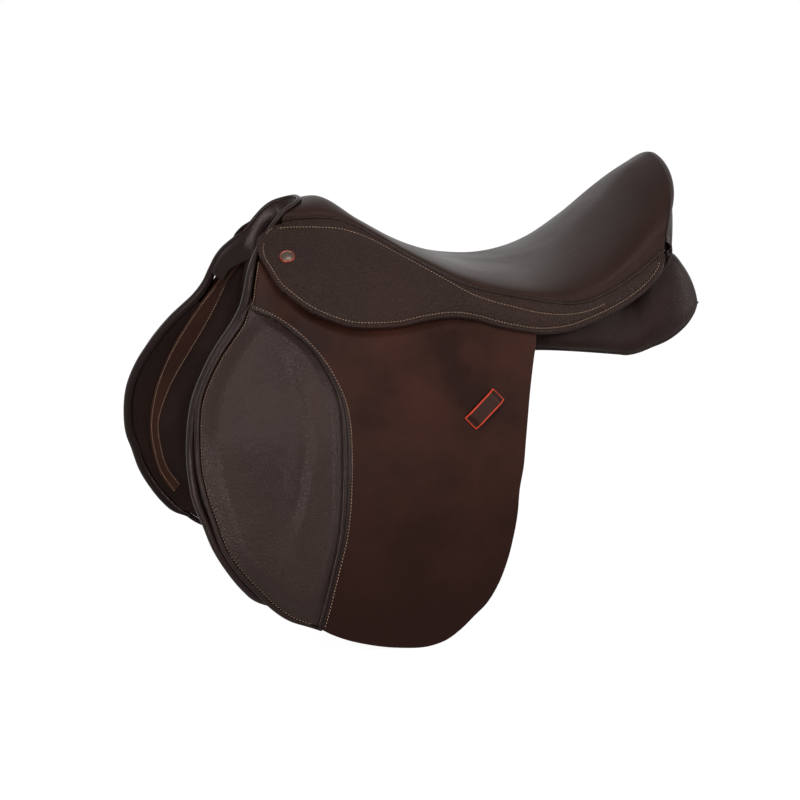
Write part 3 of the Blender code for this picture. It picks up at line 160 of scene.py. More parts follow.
PAD_REAR = [(-0.2445, 0.0700), (-0.2263, 0.0627), (-0.2099, 0.0506), (-0.1968, 0.0383), (-0.1858, 0.0235),
            (-0.1783, 0.0077), (-0.1729, -0.0059), (-0.1699, -0.0239), (-0.1706, -0.0484),
            (-0.1729, -0.0752), (-0.1760, -0.1021), (-0.1796, -0.1292), (-0.1837, -0.1519),
            (-0.1899, -0.1747), (-0.1967, -0.1977), (-0.2031, -0.2185), (-0.2095, -0.2384)]
PAD_VALLEY = [(-0.2400, 0.0560), (-0.2330, 0.0387), (-0.2228, 0.0209), (-0.2155, -0.0011),
              (-0.2130, -0.0229), (-0.2116, -0.0446), (-0.2143, -0.0665), (-0.2202, -0.0884),
              (-0.2259, -0.1106), (-0.2350, -0.1326), (-0.2438, -0.1548), (-0.2535, -0.1771)]
# Outer roll: x, z and its centre's place relative to the drape
FRONT_ROLL = [(-0.2228, 0.1318, -0.0005), (-0.2324, 0.1204, -0.0005), (-0.2379, 0.1120, -0.0005),
              (-0.2419, 0.1034, -0.0005), (-0.2467, 0.0886, -0.0019), (-0.2526, 0.0729, -0.0064),
              (-0.2617, 0.0589, -0.0101), (-0.2764, 0.0425, -0.0110), (-0.2880, 0.0295, -0.0110),
              (-0.2998, 0.0128, -0.0110), (-0.3100, -0.0039, -0.0110), (-0.3168, -0.0174, -0.0110),
              (-0.3214, -0.0306, -0.0110), (-0.3269, -0.0553, -0.0110), (-0.3279, -0.0836, -0.0110),
              (-0.3237, -0.1135, -0.0110), (-0.3181, -0.1282, -0.0110), (-0.3083, -0.1555, -0.0110),
              (-0.2954, -0.1781, -0.0110), (-0.2810, -0.1972, -0.0110), (-0.2665, -0.2113, -0.0110),
              (-0.2536, -0.2188, -0.0110)]
NAIL_PLACE = (-0.2014, 0.1219)
# Nail's head: radius and height from its underside to the top of its dome, and the inside of its ring
NAIL_PROFILE = [(0.0005, -0.0006), (0.0078, -0.0006), (0.0083, 0.0004), (0.0082, 0.0013), (0.0078, 0.0019),
                (0.0073, 0.0020), (0.0069, 0.0017), (0.0066, 0.0014), (0.0050, 0.0022), (0.0032, 0.0027),
                (0.0015, 0.0029), (0.0003, 0.00295)]
NAIL_RING = 0.0071
KEEPER_FRONT = (-0.0318, -0.0466)
KEEPER_REAR = (-0.0003, -0.0190)
KEEPER_RISE = 0.0052
KEEPER_HALF_WIDTH = 0.0076
KEEPER_THICKNESS = 0.0024

# Heights between which the flap goes from its foot's colour, painted shade that darkens it low down, to its
# own
FOOT_SHADE_HEIGHTS = (-0.24, 0.03)

# Sweat flap, girth straps' plane and panel
SWEAT_HEAD = [(-0.2636, 0.0505), (-0.1600, 0.0440), (0.0410, 0.0250)]
SWEAT_FRONT = [(-0.2636, 0.0505), (-0.2796, 0.0348), (-0.2974, 0.0114), (-0.3086, -0.0110),
               (-0.3166, -0.0339), (-0.3220, -0.0801), (-0.3130, -0.1268), (-0.2907, -0.1751),
               (-0.2616, -0.2107)]
SWEAT_FOOT = [(-0.2616, -0.2107), (-0.2000, -0.2310), (-0.1100, -0.2300), (-0.0400, -0.2050)]
SWEAT_REAR = [(0.0410, 0.0250), (0.0360, -0.0600), (0.0090, -0.1500), (-0.0400, -0.2050)]
SWEAT_BLEND = (-0.208, -0.128)
SWEAT_DEPTH_FRONT = 0.0096
STRAP_FIELD = (-0.0828, 0.0148, -0.165, 0.047)
STRAP_MIDDLE_X = -0.034
STRAP_DEPTH = 0.0090
STRAP_STACK = 0.0096
PANEL_STATIONS = [
    (-0.214, 0.034, 0.110, None, 0.112, None, 0.046, 0.054, 0.036),
    (-0.190, 0.033, 0.117, None, 0.118, None, 0.033, 0.056, 0.021),
    (-0.140, 0.034, 0.106, None, 0.109, None, 0.028, 0.058, 0.010),
    (-0.070, 0.034, 0.078, None, 0.080, None, 0.026, 0.054, 0.002),
    (0.020, 0.034, 0.056, None, 0.058, None, 0.021, 0.050, 0.000),
    (0.100, 0.034, 0.059, 0.1267, 0.0556, 0.144, 0.015, 0.046, 0.006),
    (0.160, 0.034, 0.072, 0.110, 0.072, 0.136, 0.0030, 0.044, 0.008)]
TREE_INSIDE = 0.0226
PANEL_CLEARANCE = 0.0020
SWEAT_CLEARANCE = 0.0026
PANEL_FULLNESS = 3.6
# Panel's rear end in side view, from its top round to its underside
PANEL_END = [(0.1960, 0.1130), (0.2140, 0.1160), (0.2263, 0.1120), (0.2336, 0.1029), (0.2411, 0.0893),
             (0.2450, 0.0747), (0.2453, 0.0614), (0.2421, 0.0494), (0.2353, 0.0364), (0.2237, 0.0236),
             (0.2085, 0.0134), (0.1921, 0.0076), (0.1733, 0.0031), (0.1498, 0.0023)]
PANEL_RISE = [(0.1000, 0.0556), (0.1600, 0.0720), (0.1720, 0.0770), (0.1840, 0.0940)]
PANEL_END_REACH = 0.0136
PANEL_END_MIDDLE = 0.090
PANEL_END_SIDE = 0.046
PANEL_SEAM_TURN = -0.95
PANEL_SEAM_ROWS = (70, 184)
# Front binding at the cantle's near corner
CANTLE_BINDING = [(0.2105, 0.1372), (0.2150, 0.1239), (0.2162, 0.1141), (0.2142, 0.1065), (0.2085, 0.0969),
                  (0.1985, 0.0854)]
# Binding inside each sweat flap: its front edge and its sewn edge, from the arch to the foot
LINING_FRONT = [(-0.1960, 0.1205), (-0.2102, 0.1119), (-0.2208, 0.1042), (-0.2330, 0.0890),
                (-0.2452, 0.0697), (-0.2555, 0.0523), (-0.2716, 0.0228), (-0.2860, -0.0094),
                (-0.2944, -0.0398), (-0.2999, -0.0713), (-0.3020, -0.0988), (-0.2972, -0.1341),
                (-0.2883, -0.1622), (-0.2720, -0.1880)]
LINING_SEAM = [(-0.1930, 0.1120), (-0.2108, 0.1032), (-0.2194, 0.0954), (-0.2275, 0.0830),
               (-0.2335, 0.0660), (-0.2385, 0.0490), (-0.2500, 0.0190), (-0.2640, -0.0116),
               (-0.2760, -0.0420), (-0.2860, -0.0720), (-0.2915, -0.0980), (-0.2875, -0.1300),
               (-0.2790, -0.1570), (-0.2640, -0.1790)]
LINING_DEPTH = 0.0130
LINING_STEP = 0.0030
KNEE_PART_REAR = [(-0.1500, 0.0880), (-0.1300, 0.0200), (-0.1150, -0.0800), (-0.1250, -0.1750)]

# Camera, floor and light. A lamp has a name, its place, what it faces, its width, height and power
CAMERA_TARGET = (-0.055, 0.0, -0.055)
CAMERA_BACK = (-0.2941, -0.9329, 0.2079)
CAMERA_DISTANCE = 2.8
CAMERA_LENS = 113.85
FLOOR_REACH = 6.0
FLOOR_GAP = 0.0015
FLOOR_GLOW = 1.16
FLOOR_GLOW_SHARE = 0.80
DAYLIGHT = 0.50
LAMPS = [("lamp_over", (0.0, -0.90, 1.45), (0.0, 0.0, 0.0), 0.9, 0.35, 13.0),
         ("lamp_left", (-1.60, -1.65, 0.45), (-0.10, -0.10, -0.02), 0.22, 1.3, 34.0),
         ("lamp_right", (1.90, -0.55, 0.50), (0.10, -0.05, 0.05), 0.22, 1.2, 16.0),
         ("lamp_skirt", (0.80, -2.00, 0.92), (0.15, -0.10, 0.08), 0.50, 0.25, 12.0)]


def length(name, description, default):
    """A length for the panel."""
    return bpy.props.FloatProperty(name=name, description=description, default=default, unit="LENGTH")


def tint(name, description, default):
    """A colour for the panel."""
    return bpy.props.FloatVectorProperty(name=name, description=description, default=default, size=3,
                                         subtype="COLOR")


class SaddleSizes(bpy.types.PropertyGroup):
    """Sizes of the visible leathers and their sewing."""
    seat_leather: length("Seat leather", "Thickness", 0.0018)
    skirt_leather: length("Skirt leather", "Thickness", 0.0034)
    flap_leather: length("Flap leather", "Thickness", 0.0040)
    sweat_leather: length("Sweat flap leather", "Thickness", 0.0030)
    pad_fullness: length("Knee pad", "Height over the flap", 0.0120)
    outer_roll: length("Outer roll", "Radius", 0.0050)
    flap_roll: length("Flap's roll", "Radius", 0.0031)
    welt: length("Welt", "Radius", 0.0017)
    stitch_pitch: length("Stitch pitch", "From stitch to stitch", 0.0034)
    stitch_length: length("Stitch length", "Length on show", 0.0021)
    thread: length("Thread", "Thickness", 0.0009)


class SaddleColours(bpy.types.PropertyGroup):
    """Colours of the leathers, thread and fittings."""
    seat: tint("Seat", "Smooth leather", (0.0190, 0.0088, 0.0068))
    skirt: tint("Skirt", "Pebbled leather", (0.0165, 0.0076, 0.0058))
    flap: tint("Flap", "Smooth bridle leather", (0.0370, 0.0115, 0.0070))
    # Painted shade: the flap darkens to this foot colour low down
    flap_foot: tint("Flap's foot", "Darker leather low on the flap", (0.0100, 0.0036, 0.0025))
    pad: tint("Knee pad", "Soft grained leather", (0.0200, 0.0105, 0.0090))
    roll: tint("Rolls", "Glossy dark leather", (0.0120, 0.0062, 0.0052))
    panel: tint("Panel", "Soft panel leather", (0.0140, 0.0072, 0.0058))
    lining: tint("Lining", "Lighter brown binding", (0.0360, 0.0150, 0.0100))
    keeper: tint("Keeper", "Dark leather of the keeper", (0.0230, 0.0075, 0.0050))
    thread: tint("Thread", "Tan stitching", (0.2300, 0.1450, 0.1000))
    edge_paint: tint("Edge paint", "Red edge of the keeper", (0.3600, 0.0350, 0.0150))
    copper: tint("Nail", "Copper-coloured metal", (0.2600, 0.0480, 0.0280))
    nail_middle: tint("Nail's middle", "Duller metal inside its ring", (0.0850, 0.0620, 0.0480))
    steel: tint("Steel", "Stirrup bars and catches", (0.6200, 0.6200, 0.6300))
    webbing: tint("Webbing", "Seat and girth webs", (0.4600, 0.4200, 0.3400))
    foam: tint("Foam", "Foam under the seat", (0.3600, 0.3500, 0.3200))
    tree: tint("Tree", "Moulded tree", (0.0180, 0.0180, 0.0190))


def smooth(value):
    """Ease from 0 to 1: three times the square less twice the cube."""
    value = np.clip(value, 0.0, 1.0)
    return value * value * (3.0 - 2.0 * value)


def drape(x, z):
    """Half width of the drape: a parabola in height, drawn in further round the pommel's front."""
    rise = (z - DRAPE_FOOT) / (DRAPE_HEAD - DRAPE_FOOT)
    back = smooth((x - WAIST[0]) / (WAIST[1] - WAIST[0]))
    drop = DROP_FRONT + (DROP_REAR - DROP_FRONT) * back
    edge = (EDGE_DROP * smooth((EDGE_START[0] - x) / DROP_REACH[0])
            * smooth((z - EDGE_START[1]) / DROP_REACH[1]))
    head = HEAD_DROP * smooth((HEAD_START[0] - x) / DROP_REACH[0]) * smooth((z - HEAD_START[1]) / HEAD_RISE)
    return DRAPE_WIDTH - drop * rise * rise - edge - head


def hung(grid, offset=0.0):
    """Near-side points of (x, z), laid on the drape and moved outward by the offset."""
    x, z = grid[..., 0], grid[..., 1]
    return np.stack([x, -(drape(x, z) + offset), z], axis=-1)


def outward(grid):
    """Unit normal of the drape, from central differences of its half width."""
    x, z = grid[..., 0], grid[..., 1]
    step = 0.0004
    along = (drape(x + step, z) - drape(x - step, z)) / (2 * step)
    up = (drape(x, z + step) - drape(x, z - step)) / (2 * step)
    normal = np.stack([-along, -np.ones_like(along), -up], axis=-1)
    return normal / np.linalg.norm(normal, axis=-1, keepdims=True)


def curve(points, count, crowd=0.0):
    """A cubic through the points with slopes from their neighbours, at steps of chord length.

    With crowd above 0 the steps are closer near both ends, as a cosine spaces them.
    """
    points = np.array(points, float)
    steps = np.linalg.norm(np.diff(points, axis=0), axis=1)
    knots = np.concatenate([[0.0], np.cumsum(steps)])
    share = np.linspace(0.0, 1.0, count)
    share = (1 - crowd) * share + crowd * (1 - np.cos(math.pi * share)) / 2
    if len(points) == 2:
        return points[0] + share[:, None] * (points[1] - points[0])
    slopes = np.gradient(points, knots, axis=0)
    at = share * knots[-1]
    i = np.clip(np.searchsorted(knots, at, side="right") - 1, 0, len(steps) - 1)
    h = steps[i][:, None]
    t = ((at - knots[i]) / steps[i])[:, None]
    return ((2 * t**3 - 3 * t**2 + 1) * points[i] + (t**3 - 2 * t**2 + t) * h * slopes[i]
            + (3 * t**2 - 2 * t**3) * points[i + 1] + (t**3 - t**2) * h * slopes[i + 1])


def patch(top, bottom, front, rear):
    """Coons patch: the two blends of opposite edge curves less the blend of the corners."""
    u = np.linspace(0.0, 1.0, len(top))[None, :, None]
    v = np.linspace(0.0, 1.0, len(front))[:, None, None]
    rows = (1 - v) * top[None] + v * bottom[None]
    columns = (1 - u) * front[:, None] + u * rear[:, None]
    corners = ((1 - u) * (1 - v) * top[0] + u * (1 - v) * top[-1]
               + (1 - u) * v * bottom[0] + u * v * bottom[-1])
    return rows + columns - corners


def beside(line, distance):
    """The (x, z) line moved to the right of its run when it is seen from the near side."""
    along = np.gradient(line, axis=0)
    side = np.stack([along[:, 1], -along[:, 0]], axis=-1)
    return line + distance * side / np.linalg.norm(side, axis=1)[:, None]


def away(grid, line):
    """Distance of each (x, z) from a line, and its sign by the side of the line on which it lies."""
    flat = grid.reshape(-1, 1, 2)
    start, run = line[:-1], np.diff(line, axis=0)
    share = np.clip(((flat - start) * run).sum(-1) / (run * run).sum(-1), 0.0, 1.0)
    gap = flat - start - share[..., None] * run
    far = np.linalg.norm(gap, axis=-1)
    nearest = far.argmin(axis=1)
    pick = np.arange(len(far))
    near_run, near_gap = run[nearest], gap[pick, nearest]
    side = np.sign(near_run[:, 0] * near_gap[:, 1] - near_run[:, 1] * near_gap[:, 0])
    return far[pick, nearest].reshape(grid.shape[:-1]), side.reshape(grid.shape[:-1])


def bell(value, width):
    """Bell curve: the exponential of minus the square of value over width."""
    return np.exp(-(value / width) ** 2)


def quads(index):
    """Four-sided faces of a grid of point numbers."""
    return np.stack([index[:-1, :-1], index[:-1, 1:], index[1:, 1:], index[1:, :-1]], axis=-1).reshape(-1, 4)


def lay(name, points, parts, finish, edge=None):
    """Points and faces as one closed smooth mesh at the origin.

    The volume is a sixth of the sum of the triple products of the faces' corners. Where it is
    negative, all faces are turned round.
    """
    points = np.asarray(points, float).reshape(-1, 3)
    volume = 0.0
    for part in parts:
        for k in range(1, part.shape[1] - 1):
            a, b, c = points[part[:, 0]], points[part[:, k]], points[part[:, k + 1]]
            volume += float((a * np.cross(b, c)).sum())
    if volume < 0:
        parts = [part[:, ::-1] for part in parts]
    mesh = bpy.data.meshes.new(name)
    mesh.from_pydata(points.tolist(), [], [face for part in parts for face in part.tolist()])
    if edge is not None:
        marks = mesh.attributes.new("edge", "FLOAT", "POINT")
        marks.data.foreach_set("value", np.asarray(edge, np.float32).ravel())
    mesh.shade_smooth()
    mesh.update()
    made = bpy.data.objects.new(name, mesh)
    bpy.context.scene.collection.objects.link(made)
    made.data.materials.append(finish)
    return made


def shell(outer, inner, rim=4):
    """Closed sheet: two grids joined by a half round, cosine of it across and sine of it outwards."""
    rows, columns = outer.shape[:2]
    count = rows * columns
    index = np.arange(count).reshape(rows, columns)
    ring = np.concatenate([index[0, :-1], index[:-1, -1], index[-1, :0:-1], index[:0:-1, 0]])
    row, column = np.divmod(ring, columns)
    inside = np.clip(row, 1, rows - 2) * columns + np.clip(column, 1, columns - 2)
    top, base = outer.reshape(-1, 3), inner.reshape(-1, 3)
    half = (top[ring] - base[ring]) / 2
    reach = np.linalg.norm(half, axis=1, keepdims=True)
    out = top[ring] - top[inside]
    out -= (out * half).sum(1, keepdims=True) / reach**2 * half
    out /= np.linalg.norm(out, axis=1, keepdims=True)
    points, loops = [top, base], [ring]
    for k, turn in enumerate(np.linspace(0.0, math.pi, rim + 2)[1:-1]):
        points.append((top[ring] + base[ring]) / 2 + half * math.cos(turn) + out * reach * math.sin(turn))
        loops.append(2 * count + k * len(ring) + np.arange(len(ring)))
    loops.append(count + ring)
    faces = [quads(index), quads(index)[:, ::-1] + count]
    for a, b in zip(loops, loops[1:]):
        faces.append(np.stack([np.roll(a, -1), a, b, np.roll(b, -1)], axis=-1))
    return np.concatenate(points), faces


def rim_mark(points, count, inner=0.25):
    """Edge values, which darken the leather as painted shade: the outer grid keeps its own, the base none,
    the rim one.
    """
    return np.concatenate([points, np.full(len(points), inner), np.ones(count - 2 * len(points))])


def cord(path, radius, sides=14, out=None):
    """Round closed cord: circles carried along the path, shrinking over a quarter turn at both ends.

    The section's first axis is the given outward direction made square to the path.
    """
    path = np.asarray(path, float)
    radius = np.broadcast_to(radius, len(path)).astype(float)
    along = np.gradient(path, axis=0)
    along /= np.linalg.norm(along, axis=1, keepdims=True)
    up = np.tile((0.0, 0.0, 1.0), (len(path), 1)) if out is None else np.asarray(out, float).copy()
    up = up - (up * along).sum(1, keepdims=True) * along
    up /= np.linalg.norm(up, axis=1, keepdims=True)
    side = np.cross(along, up)
    turns = np.linspace(0.0, math.pi / 2, CORD_END_RINGS + 1)[1:]
    head = path[0] - along[0] * radius[0] * np.sin(turns)[::-1, None]
    tail = path[-1] + along[-1] * radius[-1] * np.sin(turns)[:, None]
    small = np.maximum(np.cos(turns), CORD_TIP)

    def lengthened(rows):
        first, last = (np.tile(rows[k], (CORD_END_RINGS, 1)) for k in (0, -1))
        return np.concatenate([first, rows, last])
    path = np.concatenate([head, path, tail])
    radius = np.concatenate([radius[0] * small[::-1], radius, radius[-1] * small])[:, None, None]
    up, side = lengthened(up)[:, None], lengthened(side)[:, None]
    turn = np.linspace(0.0, 2 * math.pi, sides, endpoint=False)[None, :, None]
    points = path[:, None] + radius * (np.cos(turn) * up + np.sin(turn) * side)
    return points.reshape(-1, 3), closed_tube(len(path), sides)


def closed_tube(rings, sides):
    """Faces of rings joined in turn, with a many-sided face at each end."""
    index = np.arange(rings * sides).reshape(rings, sides)
    index = np.concatenate([index, index[:, :1]], axis=1)
    return [quads(index), index[0, -2::-1][None], index[-1, :-1][None]]


def stitches(path, out, sizes):
    """Even stitches along a path, each a bead whose radius is a circle's in its length, set at a slant."""
    path, out = np.asarray(path, float), np.asarray(out, float)
    steps = np.linalg.norm(np.diff(path, axis=0), axis=1)
    run = np.concatenate([[0.0], np.cumsum(steps)])
    count = int(run[-1] / sizes.stitch_pitch)
    at = (np.arange(count) + 0.5) * run[-1] / count

    def spread(rows):
        return np.stack([np.interp(at, run, rows[:, k]) for k in range(3)], axis=-1)
    centre, up, ahead = spread(path), spread(out), spread(np.gradient(path, axis=0))
    up /= np.linalg.norm(up, axis=1, keepdims=True)
    ahead -= (ahead * up).sum(1, keepdims=True) * up
    ahead /= np.linalg.norm(ahead, axis=1, keepdims=True)
    side = np.cross(up, ahead)
    lean, rest = math.sin(STITCH_SLANT), math.cos(STITCH_SLANT)
    ahead, side = ahead * rest + side * lean, side * rest - ahead * lean
    turn = np.linspace(0.0, 2 * math.pi, STITCH_SIDES, endpoint=False)[None, None, :, None]
    place = (np.array(STITCH_PLACES) * sizes.stitch_length / 2)[None, :, None, None]
    thick = (np.array(STITCH_RADII) * sizes.thread / 2)[None, :, None, None]
    points = (centre[:, None, None] + ahead[:, None, None] * place
              + thick * (np.cos(turn) * up[:, None, None] + np.sin(turn) * side[:, None, None]))
    one = closed_tube(len(STITCH_PLACES), STITCH_SIDES)
    shift = (np.arange(count) * len(STITCH_PLACES) * STITCH_SIDES)[:, None, None]
    return points.reshape(-1, 3), [(part[None] + shift).reshape(-1, part.shape[1]) for part in one]


def joined(*pieces):
    """Several point arrays with their faces as one."""
    points, parts, start = [], [], 0
    for some, faces in pieces:
        points.append(some)
        parts += [face + start for face in faces]
        start += len(some)
    return np.concatenate(points), parts


def both_sides(name, points, parts, finish, place, edge=None):
    """The near-side piece and its mirror image, each put on its body by place(piece, side)."""
    made = []
    for side, sign in (("near", 1.0), ("off", -1.0)):
        piece = lay(name + "_" + side, points * (1.0, sign, 1.0), parts, finish, edge)
        place(piece, side)
        made.append(piece)
    return made


def on_body(body):
    """Rides on the body of its side."""
    return lambda piece, side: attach(piece, body.format(side))


def placed(by, slot=None, *nodes):
    """Placed by the given function, with the nodes of its side that it replaces hidden. The slot is not used.
    """
    def place(piece, side):
        by(piece, side)
        if nodes:
            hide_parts(*[node.format(side) for node in nodes])
    return place


def whole(name, points, parts, finish, slot, *nodes):
    """A piece that crosses the centre plane and rides on the saddle itself."""
    piece = lay(name, points, parts, finish)
    placed(on_body("saddle"), slot, *nodes)(piece, "")
    return piece


def mirrored(point, side):
    """The point on its own side."""
    return (point[0], point[1] if side == "near" else -point[1], point[2])


def bending(line, above, below):
    """Bakes the piece's transform. The points at the given height above the bend line and the given depth
    below it are worked out and not used.
    """
    def place(piece, side):
        ends = np.array(line)
        middle = ends.mean(axis=0)
        run = (ends[1] - ends[0]) / np.linalg.norm(ends[1] - ends[0])
        square = np.array([-run[1], run[0]])
        high, low = middle + square * above, middle - square * below
        width = float(drape(*middle))
        mirrored((high[0], -width, high[1]), side)
        mirrored((low[0], -width, low[1]), side)
        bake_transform(piece)
    return place


FLAP_BENDING = bending(FLAP_BEND, 0.006, 0.012)
SKIRT_BENDING = bending([(-0.2269, 0.1144), (-0.0340, 0.0600)], 0.004, 0.010)


def scaled(colour, share):
    """The colour made darker or lighter, no channel over 1."""
    return tuple(min(1.0, value * share) for value in colour)


def nodes_of(material):
    """The material's node tree, its nodes and its shader."""
    material.use_nodes = True
    tree = material.node_tree
    return tree, tree.nodes, tree.nodes["Principled BSDF"]


def blank(name, colour, rough, level=0.25, metal=0.0):
    """A Principled material with its plain values set on the shader's own sockets."""
    made = bpy.data.materials.new(name)
    tree, nodes, shader = nodes_of(made)
    shader.inputs["Base Color"].default_value = (*colour, 1.0)
    shader.inputs["Roughness"].default_value = rough
    shader.inputs["Specular IOR Level"].default_value = level
    shader.inputs["Specular Tint"].default_value = (1.0, 1.0, 1.0, 1.0) if metal else (1.0, 0.84, 0.80, 1.0)
    shader.inputs["Metallic"].default_value = metal
    return made, tree, nodes, shader


def texture(tree, kind, scale, **settings):
    """A texture node on Object coordinates."""
    place = tree.nodes.get("Place")
    if place is None:
        place = tree.nodes.new("ShaderNodeTexCoord")
        place.name = "Place"
    node = tree.nodes.new(kind)
    node.inputs["Scale"].default_value = scale
    for key, value in settings.items():
        if key in node.inputs:
            node.inputs[key].default_value = value
        else:
            setattr(node, key, value)
    tree.links.new(place.outputs["Object"], node.inputs["Vector"])
    return node


def mixed(tree, factor, first, second):
    """Colour mix; each colour is a link or three numbers."""
    node = tree.nodes.new("ShaderNodeMix")
    node.data_type = "RGBA"
    for socket, colour in ((node.inputs[6], first), (node.inputs[7], second)):
        if hasattr(colour, "links") or hasattr(colour, "is_linked"):
            tree.links.new(colour, socket)
        else:
            socket.default_value = (*colour, 1.0)
    tree.links.new(factor, node.inputs[0])
    return node.outputs[2]


def ranged(tree, source, low, high, start=0.0, end=1.0):
    """A value carried from one range to another and kept inside it."""
    node = tree.nodes.new("ShaderNodeMapRange")
    for key, value in (("From Min", start), ("From Max", end), ("To Min", low), ("To Max", high)):
        node.inputs[key].default_value = value
    tree.links.new(source, node.inputs["Value"])
    return node.outputs["Result"]


def bumped(tree, height, distance, strength, before=None, invert=False):
    """A bump node, chained on another."""
    node = tree.nodes.new("ShaderNodeBump")
    node.inputs["Distance"].default_value = distance
    node.inputs["Strength"].default_value = strength
    node.invert = invert
    tree.links.new(height, node.inputs["Height"])
    if before is not None:
        tree.links.new(before, node.inputs["Normal"])
    return node.outputs["Normal"]


def leather(name, colour, rough, grain, relief, dark=0.72, level=0.25, creases=0.00006, foot=None):
    """Leather: rounded grain cells, fine pores, soft creases and slow changes of colour and gloss.

    The grain is the inverted distance to scattered points, smoothed. A foot colour, painted shade, takes over
    low down.
    """
    made, tree, nodes, shader = blank(name, colour, rough, level)
    links = tree.links
    cloud = texture(tree, "ShaderNodeTexNoise", 14.0, Detail=4.0, Roughness=0.55)
    fine = texture(tree, "ShaderNodeTexNoise", 1400.0, Detail=2.0)
    base, shade = tuple(colour), scaled(foot or colour, dark)
    # Painted shade: below the foot heights the leather takes its darker foot colour
    if foot is not None:
        split = nodes.new("ShaderNodeSeparateXYZ")
        links.new(nodes["Place"].outputs["Object"], split.inputs[0])
        base = mixed(tree, ranged(tree, split.outputs["Z"], 0.0, 1.0, *FOOT_SHADE_HEIGHTS), tuple(foot), base)
    tone = mixed(tree, ranged(tree, cloud.outputs["Fac"], 0.0, 0.9, 0.35, 0.70), shade, base)
    # Painted shade: the edge mark darkens the rims and the marked grooves, creases and seam borders towards
    # 0.45 of the colour
    mark = nodes.new("ShaderNodeAttribute")
    mark.attribute_name = "edge"
    edge_and_groove_shade = mixed(tree, ranged(tree, mark.outputs["Fac"], 0.0, 0.75), tone, scaled(colour, 0.45))
    cells = texture(tree, "ShaderNodeTexVoronoi", 1.0 / grain, feature="SMOOTH_F1", Smoothness=0.35)
    pits = mixed(tree, ranged(tree, cells.outputs["Distance"], 0.0, 0.5, 0.45, 0.85), edge_and_groove_shade,
                 scaled(colour, 0.5))
    links.new(pits, shader.inputs["Base Color"])
    gloss = ranged(tree, cloud.outputs["Fac"], rough - 0.05, rough + 0.07, 0.3, 0.7)
    links.new(gloss, shader.inputs["Roughness"])
    crease = texture(tree, "ShaderNodeTexNoise", 110.0, Detail=3.0, Distortion=0.6)
    normal = bumped(tree, crease.outputs["Fac"], creases * 8, 0.35)
    normal = bumped(tree, cells.outputs["Distance"], relief, 0.6, normal, invert=True)
    normal = bumped(tree, fine.outputs["Fac"], relief * 0.3, 0.35, normal)
    links.new(normal, shader.inputs["Normal"])
    return made


def metal(name, colour, rough):
    """Metal with faint rubbing marks: stretched noise in its roughness and relief."""
    made, tree, nodes, shader = blank(name, colour, rough, 0.5, 1.0)
    rub = texture(tree, "ShaderNodeTexNoise", 320.0, Detail=3.0).outputs["Fac"]
    links = tree.links
    links.new(ranged(tree, rub, rough - 0.08, rough + 0.10, 0.3, 0.7), shader.inputs["Roughness"])
    links.new(mixed(tree, ranged(tree, rub, 0.0, 0.5), tuple(colour), scaled(colour, 0.6)),
              shader.inputs["Base Color"])
    links.new(bumped(tree, rub, 0.00005, 0.3), shader.inputs["Normal"])
    return made


def thread(name, colour):
    """Waxed thread, a little lighter and darker along the seam: fine noise in its colour and relief."""
    made, tree, nodes, shader = blank(name, colour, 0.6, 0.3)
    wave = texture(tree, "ShaderNodeTexNoise", 900.0, Detail=2.0).outputs["Fac"]
    share = ranged(tree, wave, 0.0, 1.0, 0.35, 0.65)
    tree.links.new(mixed(tree, share, scaled(colour, 0.55), scaled(colour, 1.2)), shader.inputs["Base Color"])
    tree.links.new(bumped(tree, wave, 0.0002, 0.6), shader.inputs["Normal"])
    return made


def woven(name, colour, pitch=0.0016):
    """Webbing: two crossed sets of ribs, as sine bands along X and along Y."""
    made, tree, nodes, shader = blank(name, colour, 0.9, 0.2)
    normal = None
    bands = []
    for axis in ("X", "Y"):
        bands.append(texture(tree, "ShaderNodeTexWave", 1.0 / pitch / 3.0, bands_direction=axis,
                             Distortion=0.4))
        normal = bumped(tree, bands[-1].outputs["Fac"], 0.0004, 0.6, normal)
    tree.links.new(normal, shader.inputs["Normal"])
    tree.links.new(mixed(tree, bands[0].outputs["Fac"], scaled(colour, 0.75), tuple(colour)),
                   shader.inputs["Base Color"])
    return made


def painted(name, made, colour):
    """A finish whose marked places take another colour."""
    made.name = name
    tree, nodes, shader = nodes_of(made)
    mark = nodes.new("ShaderNodeAttribute")
    mark.attribute_name = "edge"
    before = shader.inputs["Base Color"].links[0].from_socket
    share = ranged(tree, mark.outputs["Fac"], 0.0, 1.0, 0.45, 0.55)
    tree.links.new(mixed(tree, share, before, tuple(colour)), shader.inputs["Base Color"])
    return made


FINISHES = {}


